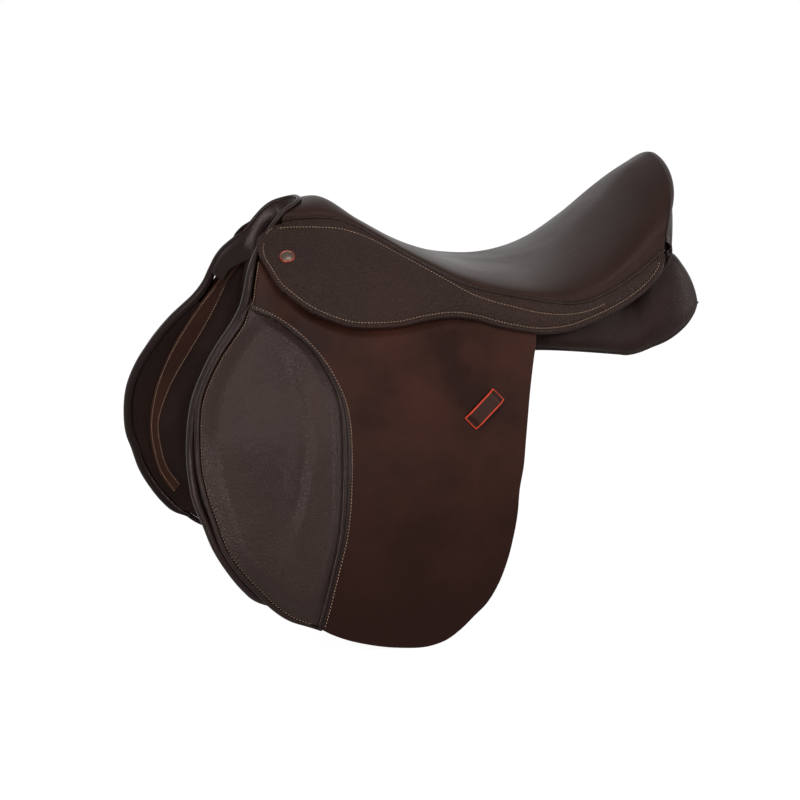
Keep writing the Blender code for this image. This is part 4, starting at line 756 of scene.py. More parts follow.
def finish(key):
    """The named finish, made once from the panel's colours."""
    if key in FINISHES:
        return FINISHES[key]
    c = bpy.context.scene.saddle_colours
    makers = {
        # each leather's roughness, size of grain and relief
        "seat": lambda: leather("smooth_seat", c.seat, 0.36, 0.0012, 0.00030, level=0.07),
        "skirt": lambda: leather("pebbled_skirt", c.skirt, 0.40, 0.0021, 0.00200, level=0.11),
        "flap": lambda: leather("bridle_flap", c.flap, 0.46, 0.0007, 0.00004, dark=0.92, level=0.070,
                                foot=c.flap_foot, creases=0.00003),
        "pad": lambda: leather("soft_pad", c.pad, 0.32, 0.0017, 0.00090, level=0.15),
        "roll": lambda: leather("glossy_roll", c.roll, 0.28, 0.0012, 0.00030, level=0.14),
        "panel": lambda: leather("soft_panel", c.panel, 0.36, 0.0013, 0.00035, level=0.075),
        "lining": lambda: leather("brown_lining", c.lining, 0.45, 0.0010, 0.00020, level=0.06),
        "strap": lambda: leather("girth_leather", c.flap, 0.46, 0.0008, 0.00006, level=0.08),
        "keeper": lambda: painted("keeper_leather_painted",
                                  leather("keeper_base", c.keeper, 0.40, 0.0012, 0.00020, level=0.12),
                                  c.edge_paint),
        "nail": lambda: painted("nail_painted", metal("nail_base", c.copper, 0.34), c.nail_middle),
        "thread": lambda: thread("tan_thread", c.thread),
        "steel": lambda: metal("steel", c.steel, 0.26),
        "webbing": lambda: woven("webbing", c.webbing),
        "foam": lambda: leather("seat_foam", c.foam, 0.9, 0.0009, 0.0002, level=0.1),
        "tree": lambda: leather("tree_laminate", c.tree, 0.55, 0.0030, 0.0002, level=0.3),
    }
    FINISHES[key] = makers[key]()
    return FINISHES[key]


def seat_edge():
    """The welt line, finely divided."""
    return curve(WELT_LINE, 601)


def seat_form(along, t, depth=0.0):
    """Seat at a share of its length and a place across from -1 to 1.

    The half width is the drape's at the welt line. The height follows a superellipse between the
    welt line and the centre line, more pointed towards the cantle.
    """
    edge = seat_edge()
    ticks = np.linspace(0.0, 1.0, len(edge))
    edge_x, edge_z = np.interp(along, ticks, edge[:, 0]), np.interp(along, ticks, edge[:, 1])
    half = drape(edge_x, edge_z) + SEAT_OVERHANG - SEAT_SIDE_SHARE * depth
    centre_x = (edge_x + POMMEL_SET_BACK * (1 - smooth(along / 0.2))
                + CANTLE_SET_BACK * smooth((along - 0.6) / 0.4))
    ridge = curve(SEAT_RIDGE, 601)
    centre_z = np.interp(centre_x, ridge[:, 0], ridge[:, 1]) - depth
    low = edge_z - SEAT_EDGE_SHARE * depth
    fullness = WAIST_FULLNESS + (CANTLE_FULLNESS - WAIST_FULLNESS) * smooth((along - 0.55) / 0.45)
    shape = np.clip(1 - np.abs(t) ** fullness, 0, 1) ** (1 / fullness)
    x = centre_x + (edge_x - centre_x) * np.abs(t) ** 3
    return np.stack([x, half * t, low + (centre_z - low) * shape], axis=-1)


class SADDLE_OT_seat(bpy.types.Operator):
    """Blocked seat: one leather drawn over the foam, turned under at the welt and round the cantle"""
    bl_idname = "saddle.seat"
    bl_label = "Seat"

    def execute(self, context):
        sizes = context.scene.saddle_sizes
        outer = self.tucked(self.rolled(0.0), SEAT_TUCK)
        inner = self.tucked(self.rolled(sizes.seat_leather), SEAT_TUCK - 0.0010)
        points, parts = shell(outer, inner)
        seat = whole("seat", points, parts, finish("seat"), "seat_leather", "seat_leather")
        line = seat_edge()[::6]
        # the welt is slimmer over the stirrup bar
        slim = sizes.welt * (0.65 + 0.35 * smooth((line[:, 0] + 0.13) / 0.10))
        middle = hung(line + np.stack([0 * slim, -slim * 0.8], axis=-1), 0.0020 - 0.3 * slim)
        points, parts = cord(middle, slim, 10, outward(line))
        both_sides("seat_welt", points, parts, finish("roll"),
                   placed(on_body("saddle"), "roll_leather", "welt_{}"))
        return {"FINISHED"}

    def rolled(self, depth):
        """The seat's form at a depth, with its rear edge rolled over the cantle."""
        along = np.linspace(0.0, 1.0, 150)[:, None]
        t = np.sin(np.linspace(-math.pi / 2, math.pi / 2, 121))[None, :]
        top = seat_form(along + 0 * t, t + 0 * along, depth)
        ahead = top[-1] - top[-2]
        ahead /= np.linalg.norm(ahead, axis=1, keepdims=True)
        normal = np.cross(ahead, np.gradient(top[-1], axis=0))
        normal /= np.linalg.norm(normal, axis=1, keepdims=True)
        turns = np.linspace(0.0, CANTLE_ROLL_TURN, 12)[1:, None, None]
        reach = (CANTLE_ROLL_SIDE + CANTLE_ROLL_MIDDLE * (1 - t[0] ** 6))[None, :, None] - depth
        return np.concatenate([top, top[-1] + reach * (np.sin(turns) * ahead - (1 - np.cos(turns)) * normal)])

    def tucked(self, grid, radius):
        """Both long edges turned under by a part of a circle."""
        turns = np.linspace(0.0, SEAT_TUCK_TURN, 6)[1:]
        sides = []
        for edge, sign in ((grid[:, 0], 1.0), (grid[:, -1], -1.0)):
            tuck = np.zeros((len(edge), len(turns), 3))
            tuck[..., 1] = sign * radius * (1 - np.cos(turns))
            tuck[..., 2] = -radius * np.sin(turns)
            sides.append(edge[:, None] + tuck)
        return np.concatenate([sides[0][:, ::-1], grid, sides[1]], axis=1)


def skirt_room(x, z):
    """How far the skirt stands off the flap: one broad swell over the stirrup bar, flatter to the rear."""
    (middle_x, middle_z), (reach_x, reach_z) = SKIRT_SWELL
    reach = ((x - middle_x) / reach_x) ** 2 + ((z - middle_z) / reach_z) ** 2
    return GAP + 0.0020 * smooth(-x / 0.10) + 0.0058 * smooth(1.2 * (1 - reach))


def skirt_inside(points):
    """Distance of the skirt's inner face from the flap, and the share of its height that it has there.

    Both shrink towards the seat's edge, under which the skirt goes.
    """
    sunk = smooth(away(points, seat_edge()[::10])[0] / SKIRT_SUNK)
    return GAP + (skirt_room(points[..., 0], points[..., 1]) - GAP) * sunk, sunk


class SADDLE_OT_skirts(bpy.types.Operator):
    """Skirts: pebbled leather with a corded edge and two seams"""
    bl_idname = "saddle.skirts"
    bl_label = "Skirts"

    def execute(self, context):
        sizes = context.scene.saddle_sizes
        grid = self.outline()
        far, _ = away(grid, curve(SKIRT_FRONT[1:] + SKIRT_EDGE[1:], 500))
        seam, _ = away(grid, curve(SKIRT_UPPER_SEAM, 200))
        cord_rise = 0.0013 * bell(far - 0.0030, 0.0024) - 0.0016 * smooth(1 - far / 0.0026)
        groove = -0.0008 * bell(far - SKIRT_SEAM_DEPTH - 0.0004, 0.0011) - 0.0006 * bell(seam, 0.0012)
        swell = 0.0014 * smooth((far - SKIRT_SEAM_DEPTH) / 0.012) * smooth(seam / 0.010)
        room, sunk = skirt_inside(grid)
        height = room + SKIRT_BASE + (sizes.skirt_leather - SKIRT_BASE + cord_rise + groove + swell) * sunk
        points, parts = shell(hung(grid, height), hung(grid, room))
        # Painted shade along the grooves of both seams; the rims darkest
        seam_groove_shade = 0.35 * bell(far - SKIRT_SEAM_DEPTH, 0.0016) + 0.3 * bell(seam, 0.0014)
        mark = rim_mark(seam_groove_shade.ravel(), len(points), 0.1)
        both_sides("skirt", points, parts, finish("skirt"),
                   placed(SKIRT_BENDING, "skirt_leather", "skirt_band_{}", "skirt_lobe_{}"), mark)
        low_seam = beside(curve(SKIRT_FRONT[2:] + SKIRT_EDGE[1:], 400), -SKIRT_SEAM_DEPTH)[8:-4]
        sewn = []
        for line in (low_seam, curve(SKIRT_UPPER_SEAM, 300)):
            room, sunk = skirt_inside(line)
            lift = room + SKIRT_BASE + (sizes.skirt_leather - 0.0004 - SKIRT_BASE) * sunk
            sewn.append(stitches(hung(line, lift), outward(line), sizes))
        points, parts = joined(*sewn)
        both_sides("skirt_stitching", points, parts, finish("thread"), SKIRT_BENDING)
        return {"FINISHED"}

    def outline(self):
        """The skirt as a grid of (x, z), its rows closer towards the border, where its cord and seam are."""
        rows = 60
        top = curve((seat_edge() + (0.0, -0.0026))[::20], 200)
        low = beside(curve(SKIRT_EDGE, 200), -0.0012)
        front = beside(curve([tuple(top[0])] + SKIRT_FRONT[1:], rows), -0.0010)
        front[0], low[0] = top[0], front[-1]
        grid = patch(top, low, front, curve([tuple(top[-1]), tuple(low[-1])], rows))
        share = np.linspace(0.0, 1.0, rows)
        crowded = 1 - (1 - share) ** 1.35
        return np.stack([np.stack([np.interp(crowded, share, grid[:, j, k]) for k in (0, 1)], axis=-1)
                         for j in range(grid.shape[1])], axis=1)


def flap_grid(rows, columns):
    """The flap's outline as a grid of (x, z), from the tucked top edge to the foot."""
    tucked = [(x, z - 0.0065) for x, z in WELT_LINE if -0.20 < x < 0.045]
    front = beside(curve(FLAP_HEAD_FRONT + FRONT_SEAM, rows), -0.0016)
    top = curve([tuple(front[0])] + tucked + [FLAP_REAR[0]], columns)
    foot = curve([tuple(front[-1])] + FLAP_FOOT[1:], columns)
    rear = curve(FLAP_REAR, rows)
    foot = foot + np.array([0.0, FLAP_INSET]) * smooth(np.linspace(0.0, 1.0, columns) / 0.1)[:, None]
    low = smooth((np.linspace(0.0, 1.0, rows) - 0.85) / 0.15)[:, None]
    rear = rear + np.array([-FLAP_INSET, 0.0]) + np.array([0.0, FLAP_INSET]) * low
    top[-1], foot[-1] = rear[0], rear[-1]
    foot[0] = front[-1]
    return patch(top, foot, front, rear)


def cut_window(piece, side):
    """Opening in the flap's head round the stirrup bar: a rounded block cut out exactly."""
    low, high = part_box("stirrup_bar_" + side)
    catch_low, catch_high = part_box("bar_catch_" + side)
    start, end = min(low[0], catch_low[0]) - 0.005, max(high[0], catch_high[0]) + 0.005
    floor, roof = low[2] - 0.004, high[2] + 0.012
    turn = np.linspace(0.0, 2 * math.pi, 40, endpoint=False)
    along, up = np.cos(turn), np.sin(turn)
    ring_x = (start + end) / 2 + (end - start) / 2 * np.sign(along) * np.abs(along) ** 0.35
    ring_z = (floor + roof) / 2 + (roof - floor) / 2 * np.sign(up) * np.abs(up) ** 0.5
    wide = (-0.20, -0.04) if side == "near" else (0.04, 0.20)
    rings = np.stack([np.column_stack([ring_x, np.full(40, y), ring_z]) for y in wide])
    cutter = lay("cutter", rings, closed_tube(2, 40), finish("flap"))
    step = piece.modifiers.new("window", "BOOLEAN")
    step.operation, step.solver, step.object = "DIFFERENCE", "EXACT", cutter
    bpy.context.view_layer.update()
    result = bpy.data.meshes.new_from_object(piece.evaluated_get(bpy.context.evaluated_depsgraph_get()))
    piece.modifiers.clear()
    piece.data = result
    bpy.data.objects.remove(cutter, do_unlink=True)


class SADDLE_OT_flaps(bpy.types.Operator):
    """Flaps: one smooth leather on each side with a window for the stirrup bar, a sewn roll and its seam"""
    bl_idname = "saddle.flaps"
    bl_label = "Flaps"

    def execute(self, context):
        sizes = context.scene.saddle_sizes
        grid = flap_grid(150, 110)
        x, z = grid[..., 0], grid[..., 1]
        wave = 0.0005 * np.sin(17 * x + 9 * z + 1.0) * np.sin(13 * z - 6 * x) * smooth((0.03 - z) / 0.08)
        far, _ = away(grid, np.concatenate([curve(FLAP_FOOT, 160), curve(FLAP_REAR, 200)[::-1]]))
        # a creased line beside the edge, and the edge itself thinned
        crease = -0.0003 * bell(far - FLAP_CREASE, 0.0008) - 0.0005 * smooth(1 - far / 0.0022)
        points, parts = shell(hung(grid, wave + crease), hung(grid, wave - sizes.flap_leather), 5)
        # Painted shade along the crease and within 3 mm of the edge; the rims darkest
        mark = rim_mark((0.25 * bell(far - FLAP_CREASE, 0.0009) + 0.5 * smooth(1 - far / 0.003)).ravel(),
                        len(points), 1.0)
        place = placed(FLAP_BENDING, "flap_leather", "flap_{}", "flap_head_{}")
        both_sides("flap_leather", points, parts, finish("flap"),
                   lambda piece, side: (cut_window(piece, side), place(piece, side)), mark)
        self.roll(sizes)
        head = curve(FLAP_HEAD_FRONT[1:] + FRONT_SEAM[:2], 60)
        low = curve(FRONT_SEAM[1:], 300)
        points, parts = joined(*[stitches(hung(line, lift), outward(line), sizes)
                                 for line, lift in ((head, 0.0003), (low, 0.0024))])
        both_sides("flap_stitching", points, parts, finish("thread"), FLAP_BENDING)
        return {"FINISHED"}

    def roll(self, sizes):
        """Roll along the flap's front seam, slimmer towards both ends and always touching the seam."""
        seam = curve(FRONT_SEAM + [(-0.2040, -0.2440)], 260)
        share = np.linspace(0.0, 1.0, 260)
        radius = sizes.flap_roll * (0.35 + 0.65 * smooth(share / 0.05))
        radius = radius * (0.55 + 0.45 * smooth((1 - share) / 0.12))
        centre = beside(seam, radius[:, None] + 0.0001)
        points, parts = cord(hung(centre, -0.0012), radius, 16, outward(centre))
        both_sides("flap_roll", points, parts, finish("roll"),
                   placed(FLAP_BENDING, "roll_leather", "flap_piping_{}"))


class SADDLE_OT_knee_pads(bpy.types.Operator):
    """Knee pads: stuffed leather domes with a ridge, bound by a corded strip with its own seam"""
    bl_idname = "saddle.knee_pads"
    bl_label = "Knee pads"

    def execute(self, context):
        sizes = context.scene.saddle_sizes
        rows, columns = 170, 90
        front, rear = beside(curve(FRONT_SEAM, rows, 0.5), -0.0008), curve(PAD_REAR, rows, 0.5)
        share = (1 - np.cos(np.linspace(0.0, math.pi, columns))) / 2
        share = (0.5 * share + 0.5 * np.linspace(0.0, 1.0, columns))[None, :, None]
        grid = (1 - share) * front[:, None] + share * rear[:, None]
        from_front = np.linalg.norm(grid - front[:, None], axis=-1)
        from_rear = np.linalg.norm(grid - rear[:, None], axis=-1)
        width = np.linalg.norm(front - rear, axis=-1)[:, None]
        dome = smooth(from_front / 0.020) ** 0.8 * smooth(from_rear / 0.014) ** 0.75 * smooth(width / 0.060)
        height = PAD_RIM + (sizes.pad_fullness - PAD_RIM) * dome - self.hollow(grid) * dome
        height = height + 0.0003 * np.sin(60 * grid[..., 1]) * np.sin(90 * grid[..., 0]) * dome
        points, parts = shell(hung(grid, 0.0012 + height), hung(grid, 0.0006))
        # Painted shade where the pad sinks to its front and rear seams
        mark = rim_mark(0.5 * smooth(1 - np.minimum(from_front, from_rear) / 0.004).ravel(), len(points), 0.2)
        pads = both_sides("knee_pad_leather", points, parts, finish("pad"),
                          placed(FLAP_BENDING, "pad_leather", "knee_pad_{}", "knee_pad_head_{}"), mark)
        self.binding(sizes)
        return {"FINISHED"}

    def hollow(self, grid):
        """Valley along its line, steeper behind it, and the lower part of the pad behind the valley."""
        z = grid[..., 1]
        gap, side = away(grid, curve(PAD_VALLEY, 200))
        gap = gap * side
        ends = smooth((0.050 - z) / 0.060) * smooth((z + 0.172) / 0.070)
        dip = 0.0056 * np.where(gap < 0, bell(gap, 0.0170), bell(gap, 0.0075)) * ends
        return dip + 0.0030 * smooth(gap / 0.055) * smooth((0.050 - z) / 0.060)

    def binding(self, sizes):
        """Strip behind the pad: a half-round cord, then a flat edge with a groove for the stitches."""
        inner, outer = curve(PAD_REAR, 220), beside(curve(PAD_SEAM, 220), 0.0014)
        inner[0] = inner[0] + (outer[0] - inner[0]) * 0.2
        across = np.linspace(0.0, 1.0, 22)[None, :, None]
        strip = (1 - across) * inner[:, None] + across * outer[:, None]
        u = across[..., 0]
        profile = (0.0042 * np.sqrt(np.clip(1 - ((u - 0.28) / 0.30) ** 2, 0, 1)) * (u < 0.58)
                   + 0.0014 * smooth((u - 0.42) / 0.12) - 0.0007 * bell(u - 0.60, 0.05))
        profile = np.maximum(profile, 0.0006) + 0 * strip[..., 0]
        points, parts = shell(hung(strip, 0.0008 + profile), hung(strip, 0.0003), 3)
        # Painted shade in the groove beside the stitches
        mark = rim_mark((0.6 * bell(u - 0.60, 0.06) + 0 * profile).ravel(), len(points), 0.2)
        both_sides("pad_binding", points, parts, finish("roll"), placed(FLAP_BENDING, "roll_leather"), mark)
        line = curve(PAD_SEAM, 300)
        points, parts = stitches(hung(line, 0.0024), outward(line), sizes)
        both_sides("pad_stitching", points, parts, finish("thread"), FLAP_BENDING)


def pommel_path(count):
    """Front edge of the seat from its near corner over the pommel to the middle."""
    return seat_form(np.zeros(count), np.linspace(-1.0, 0.0, count))


class SADDLE_OT_front_roll(bpy.types.Operator):
    """Outer roll from the near flap's foot over the pommel to the off flap's foot, and the dark facing"""
    bl_idname = "saddle.front_roll"
    bl_label = "Front roll and facing"

    def execute(self, context):
        sizes = context.scene.saddle_sizes
        line = np.array(FRONT_ROLL)
        side = np.column_stack([line[:, 0], -(drape(line[:, 0], line[:, 1]) + line[:, 2]), line[:, 1]])[::-1]
        top = pommel_path(8)[1:] + np.array([-0.0040, 0.0, 0.0012])
        path = curve(self.round_trip(np.concatenate([side, top])), 620)
        height = path[:, 2]
        radius = sizes.outer_roll * (0.50 + 0.50 * smooth((0.150 - height) / 0.075))
        radius = radius * (0.45 + 0.55 * smooth(self.from_ends(620) / 620 / 0.025))
        out = np.stack([0 * height, path[:, 1], 0.06 + 0 * height], axis=-1)
        points, parts = cord(path, radius, 18, out)
        whole("front_roll", points, parts, finish("roll"), "roll_leather", "pommel_roll",
              "sweat_flap_roll_near", "sweat_flap_roll_off")
        self.facing(np.concatenate([side[-5:], top]))
        return {"FINISHED"}

    def round_trip(self, half):
        """The near half of a path and its mirror image, which share the point on the centre plane."""
        return np.concatenate([half, half[-2::-1] * (1.0, -1.0, 1.0)])

    def from_ends(self, count):
        """Steps from the nearer end of a path."""
        return np.minimum(np.arange(count), np.arange(count)[::-1])

    def facing(self, half_arch):
        """Dark leather under the pommel's roll: a strip with a sine bulge, narrower at its corners."""
        arch = curve(self.round_trip(half_arch), 141)
        along = np.gradient(arch, axis=0)
        along /= np.linalg.norm(along, axis=1, keepdims=True)
        ahead = np.column_stack([-along[:, 1], along[:, 0], 0 * along[:, 0]])
        ahead /= np.linalg.norm(ahead, axis=1, keepdims=True)
        under = np.cross(ahead, along)
        share = np.linspace(0.0, 1.0, 24)[:, None, None]
        wide = (0.020 + 0.012 * smooth(self.from_ends(141) / 70 / 0.6))[None, :, None]
        bulge = 0.0042 * np.sin(math.pi * share ** 0.8)
        face = arch + under * (share * wide - 0.0012) + ahead * (bulge - 0.0006)
        points, parts = shell(face + ahead * 0.0010, face - ahead * 0.0010)
        whole("pommel_face", points, parts, finish("roll"), "roll_leather", "pommel_facing")


def strap_width(x, z):
    """Half width of the straps' plane: the level plane through the drape, moved in past the whole field."""
    low_x, high_x, low_z, high_z = STRAP_FIELD
    a, b = np.meshgrid(np.linspace(low_x, high_x, 7), np.linspace(low_z, high_z, 9))
    level = (drape(a, b) - STRAP_DEPTH).ravel()
    terms = np.stack([np.ones(a.size), a.ravel() - STRAP_MIDDLE_X, b.ravel()], axis=-1)
    fit = np.linalg.lstsq(terms, level, rcond=None)[0]
    fit[0] += float(np.min(level - terms @ fit))
    return fit[0] + fit[1] * (x - STRAP_MIDDLE_X) + fit[2] * z


def sweat_depth(x, z):
    """How far the sweat flap's outer face lies under the drape: inside the straps and their guard."""
    under = np.maximum(drape(x, z) - strap_width(x, z) + STRAP_STACK, SWEAT_DEPTH_FRONT)
    back = smooth((x - SWEAT_BLEND[0]) / (SWEAT_BLEND[1] - SWEAT_BLEND[0]))
    return SWEAT_DEPTH_FRONT + (under - SWEAT_DEPTH_FRONT) * back


def sweat_grid(rows, columns):
    """The sweat flap's outline as a grid of (x, z)."""
    return patch(curve(SWEAT_HEAD, columns), curve(SWEAT_FOOT, columns), curve(SWEAT_FRONT, rows),
                 curve(SWEAT_REAR, rows))


class SADDLE_OT_sweat_flaps(bpy.types.Operator):
    """Sweat flaps with their inner piping, and the panel's knee parts sewn inside them"""
    bl_idname = "saddle.sweat_flaps"
    bl_label = "Sweat flaps"

    def execute(self, context):
        sizes = context.scene.saddle_sizes
        grid = sweat_grid(100, 100)
        depth = sweat_depth(grid[..., 0], grid[..., 1])
        far, _ = away(grid, curve(SWEAT_FRONT, 200))
        bead = 0.0013 * bell(far - 0.0090, 0.0013)
        points, parts = shell(hung(grid, -depth), hung(grid, -depth - sizes.sweat_leather - bead))
        # Painted shade: a dark line 6 mm inside the front edge
        both_sides("sweat_flap_leather", points, parts, finish("panel"),
                   placed(on_body("saddle"), "sweat_leather", "sweat_flap_{}"),
                   rim_mark(0.4 * bell(far - 0.0060, 0.0016).ravel(), len(points), 0.0))
        seam = curve(LINING_SEAM, 160)
        self.knee_part(seam, sizes)
        self.binding(seam, sizes)
        return {"FINISHED"}

    def knee_part(self, seam, sizes):
        """Cushion sewn inside the sweat flap, inside of its leather where the girth straps push that in."""
        front = seam[10:]
        rear = curve(curve(KNEE_PART_REAR, 160)[::12], len(front))
        ends = [curve([tuple(front[k]), tuple(rear[k])], 70) for k in (0, -1)]
        grid = patch(ends[0], ends[1], front, rear)
        x, z = grid[..., 0], grid[..., 1]
        edge, _ = away(grid, np.concatenate([rear[:1], front, rear[-1:]]))
        base = LINING_DEPTH + 0.0004 + LINING_STEP * smooth((z - 0.03) / 0.06)
        back = smooth((x - SWEAT_BLEND[0]) / (SWEAT_BLEND[1] - SWEAT_BLEND[0]))
        under = sweat_depth(x, z) + sizes.sweat_leather + 2 * GAP
        base = np.maximum(base, under * smooth((0.045 - z) / 0.02) * back)
        rise = 0.0010 + 0.0098 * smooth(edge / 0.022) ** 0.8
        points, parts = shell(hung(grid, -base), hung(grid, -base - rise))
        pads = both_sides("panel_knee_part", points, parts, finish("panel"),
                          placed(on_body("saddle"), "panel_leather", "panel_knee_{}"))

    def binding(self, seam, sizes):
        """Brown binding along the knee part's front, beaded at both edges, and its stitches."""
        lead = curve(LINING_FRONT, 160)
        u = np.linspace(0.0, 1.0, 16)[None, :]
        strip = (1 - u[..., None]) * lead[:, None] + u[..., None] * seam[:, None]
        high = self.high(strip)
        bead = 0.0010 + 0.0022 * (bell(u - 0.12, 0.12) + bell(u - 0.88, 0.12)) * high + 0.0005 * (1 - high)
        level = LINING_DEPTH + LINING_STEP * high
        points, parts = shell(hung(strip, -level), hung(strip, -level - bead), 2)
        both_sides("knee_part_binding", points, parts, finish("lining"),
                   placed(on_body("saddle"), "panel_leather"))
        sewn = []
        for line, inset in ((seam, 0.0012), (lead, -0.0016)):
            line = beside(line[24:], inset)
            level = LINING_DEPTH + 0.0018 + LINING_STEP * self.high(line)
            sewn.append(stitches(hung(line, -level), -outward(line), sizes))
        points, parts = joined(*sewn)
        both_sides("knee_part_stitching", points, parts, finish("thread"), on_body("saddle"))

    def high(self, points):
        """From 0 low down to 1 up in the arch, where the binding is thick and lies further in."""
        return smooth((points[..., 1] - 0.055) / 0.03)


def panel_rows(count):
    """The cushion's stations with their outer corners worked out, joined by a cubic, and its round end.

    The end's outline is a side view's, so points further in are read further forward and set lower.
    """
    table = []
    for x, a, b, c, d, e, f, g, h in PANEL_STATIONS:
        if c is None:
            c = float(drape(x, d)) - TREE_INSIDE - PANEL_CLEARANCE
            e = float(drape(x, f)) - max(float(sweat_depth(x, f)) + 0.0030, TREE_INSIDE) - SWEAT_CLEARANCE
        table.append([x, a, b, c, d, e, f, g, h])
    rows = curve(table, count)
    start, last = table[-1], PANEL_END[6][0] + PANEL_END_REACH
    x = start[0] + (last - start[0]) * np.sin(np.linspace(0.0, math.pi / 2, 61)[1:])
    upper, lower = curve(PANEL_RISE + PANEL_END[:7], 120), curve(PANEL_END[6:], 80)[::-1]
    slim = np.sqrt(np.clip(1 - ((x - start[0]) / (last + 0.0002 - start[0])) ** 2, 0.0, 1.0))
    inward = PANEL_END_SIDE * (1 - slim)
    top, foot = (np.interp(x - 0.30 * inward, line[:, 0], line[:, 1]) - 0.20 * inward
                 for line in (upper, lower))
    rear = np.column_stack([x, PANEL_END_MIDDLE - 0.056 * slim, top, PANEL_END_MIDDLE + 0.020 * slim, top,
                            PANEL_END_MIDDLE + PANEL_END_SIDE * slim, foot,
                            PANEL_END_MIDDLE - PANEL_END_SIDE * slim, foot + 0.005 * slim])
    return np.concatenate([rows, rear])


def panel_ring(row, turn):
    """Section of the cushion: a superellipse laid in the four corners of its station."""
    a = np.sign(np.cos(turn)) * np.abs(np.cos(turn)) ** (2 / PANEL_FULLNESS)
    b = np.sign(np.sin(turn)) * np.abs(np.sin(turn)) ** (2 / PANEL_FULLNESS)
    u, v = ((a + 1) / 2)[:, None], ((b + 1) / 2)[:, None]
    corners = [np.array([row[k], row[k + 1]]) for k in (1, 3, 5, 7)]
    place = v * ((1 - u) * corners[0] + u * corners[1]) + (1 - v) * ((1 - u) * corners[3] + u * corners[2])
    return np.column_stack([np.full(len(turn), row[0]), -place[:, 0], place[:, 1]])


class SADDLE_OT_panel(bpy.types.Operator):
    """Flocked cushions, round at both ends, with a corded seam under each outer side"""
    bl_idname = "saddle.panel"
    bl_label = "Panel"

    def execute(self, context):
        rows = panel_rows(130)
        turn = np.linspace(0.0, 2 * math.pi, 72, endpoint=False)
        body = np.array([panel_ring(row, turn) for row in rows])
        rings = np.concatenate([self.closing(body[0], -0.0060)[::-1], body, self.closing(body[-1], 0.0004)])
        cushions = both_sides("panel", rings.reshape(-1, 3), closed_tube(len(rings), len(turn)),
                              finish("panel"), placed(on_body("saddle"), "panel_leather", "panel_cushion_{}"))
        sewn = rows[PANEL_SEAM_ROWS[0]:PANEL_SEAM_ROWS[1]]
        path = np.array([panel_ring(row, np.array([PANEL_SEAM_TURN]))[0] for row in sewn])
        middle = np.array([panel_ring(row, turn).mean(axis=0) for row in sewn])
        pick = np.linspace(0, len(path) - 1, 160).astype(int)
        points, parts = cord(curve(path[::3], 160), 0.0015, 8, (path - middle)[pick])
        both_sides("panel_seams", points, parts, finish("roll"), placed(on_body("saddle"), "roll_leather"))
        return {"FINISHED"}

    def closing(self, ring, reach):
        """Rings that close an end: they shrink to the middle over a quarter turn while they move out."""
        middle = ring.mean(axis=0)
        return [middle + (ring - middle) * max(math.cos(a), 0.03) ** 0.7
                + np.array([reach * math.sin(a), 0.0, 0.0]) for a in np.linspace(0.0, math.pi / 2, 9)[1:]]


class SADDLE_OT_cantle(bpy.types.Operator):
    """Leather behind the cantle, its bead, and the two narrow bindings at each rear corner"""
    bl_idname = "saddle.cantle"
    bl_label = "Cantle"

    def execute(self, context):
        rim = seat_form(np.ones(101), np.linspace(-0.985, 0.985, 101))
        share = rim[:, 1] / np.abs(rim[:, 1]).max()
        foot = np.column_stack([0.2085 + 0.012 * (1 - share**2), rim[:, 1] * 0.93,
                                np.minimum(rim[:, 2] - 0.004, 0.1150)])
        v = np.linspace(0.0, 1.0, 40)[:, None, None]
        rearward = np.array([1.0, 0.0, 0.0])
        face = (1 - v) * rim[None] + v * foot[None] + (0.006 * np.sin(math.pi * v) + 0.0010) * rearward
        points, parts = shell(face + 0.0022 * rearward, face)
        whole("cantle_back", points, parts, finish("roll"), "roll_leather", "cantle_facing")
        path = face[-1] + np.array([0.0030, 0.0, -0.0030])
        points, parts = cord(path, 0.0030, 12, np.tile(rearward, (101, 1)))
        whole("cantle_roll", points, parts, finish("roll"), "roll_leather", "cantle_bead")
        cords = []
        for shift, inward in ((0.0, 0.0), (-0.0045, 0.0035)):
            line = curve(np.array(CANTLE_BINDING) + (shift, 0.0), 60)
            points = np.column_stack([line[:, 0], np.full(60, inward - 0.1130), line[:, 1]])
            cords.append(cord(points, 0.0024, 10, np.tile((0.3, -1.0, 0.0), (60, 1))))
        points, parts = joined(*cords)
        both_sides("cantle_bindings", points, parts, finish("roll"),
                   placed(on_body("saddle"), "roll_leather"))
        return {"FINISHED"}


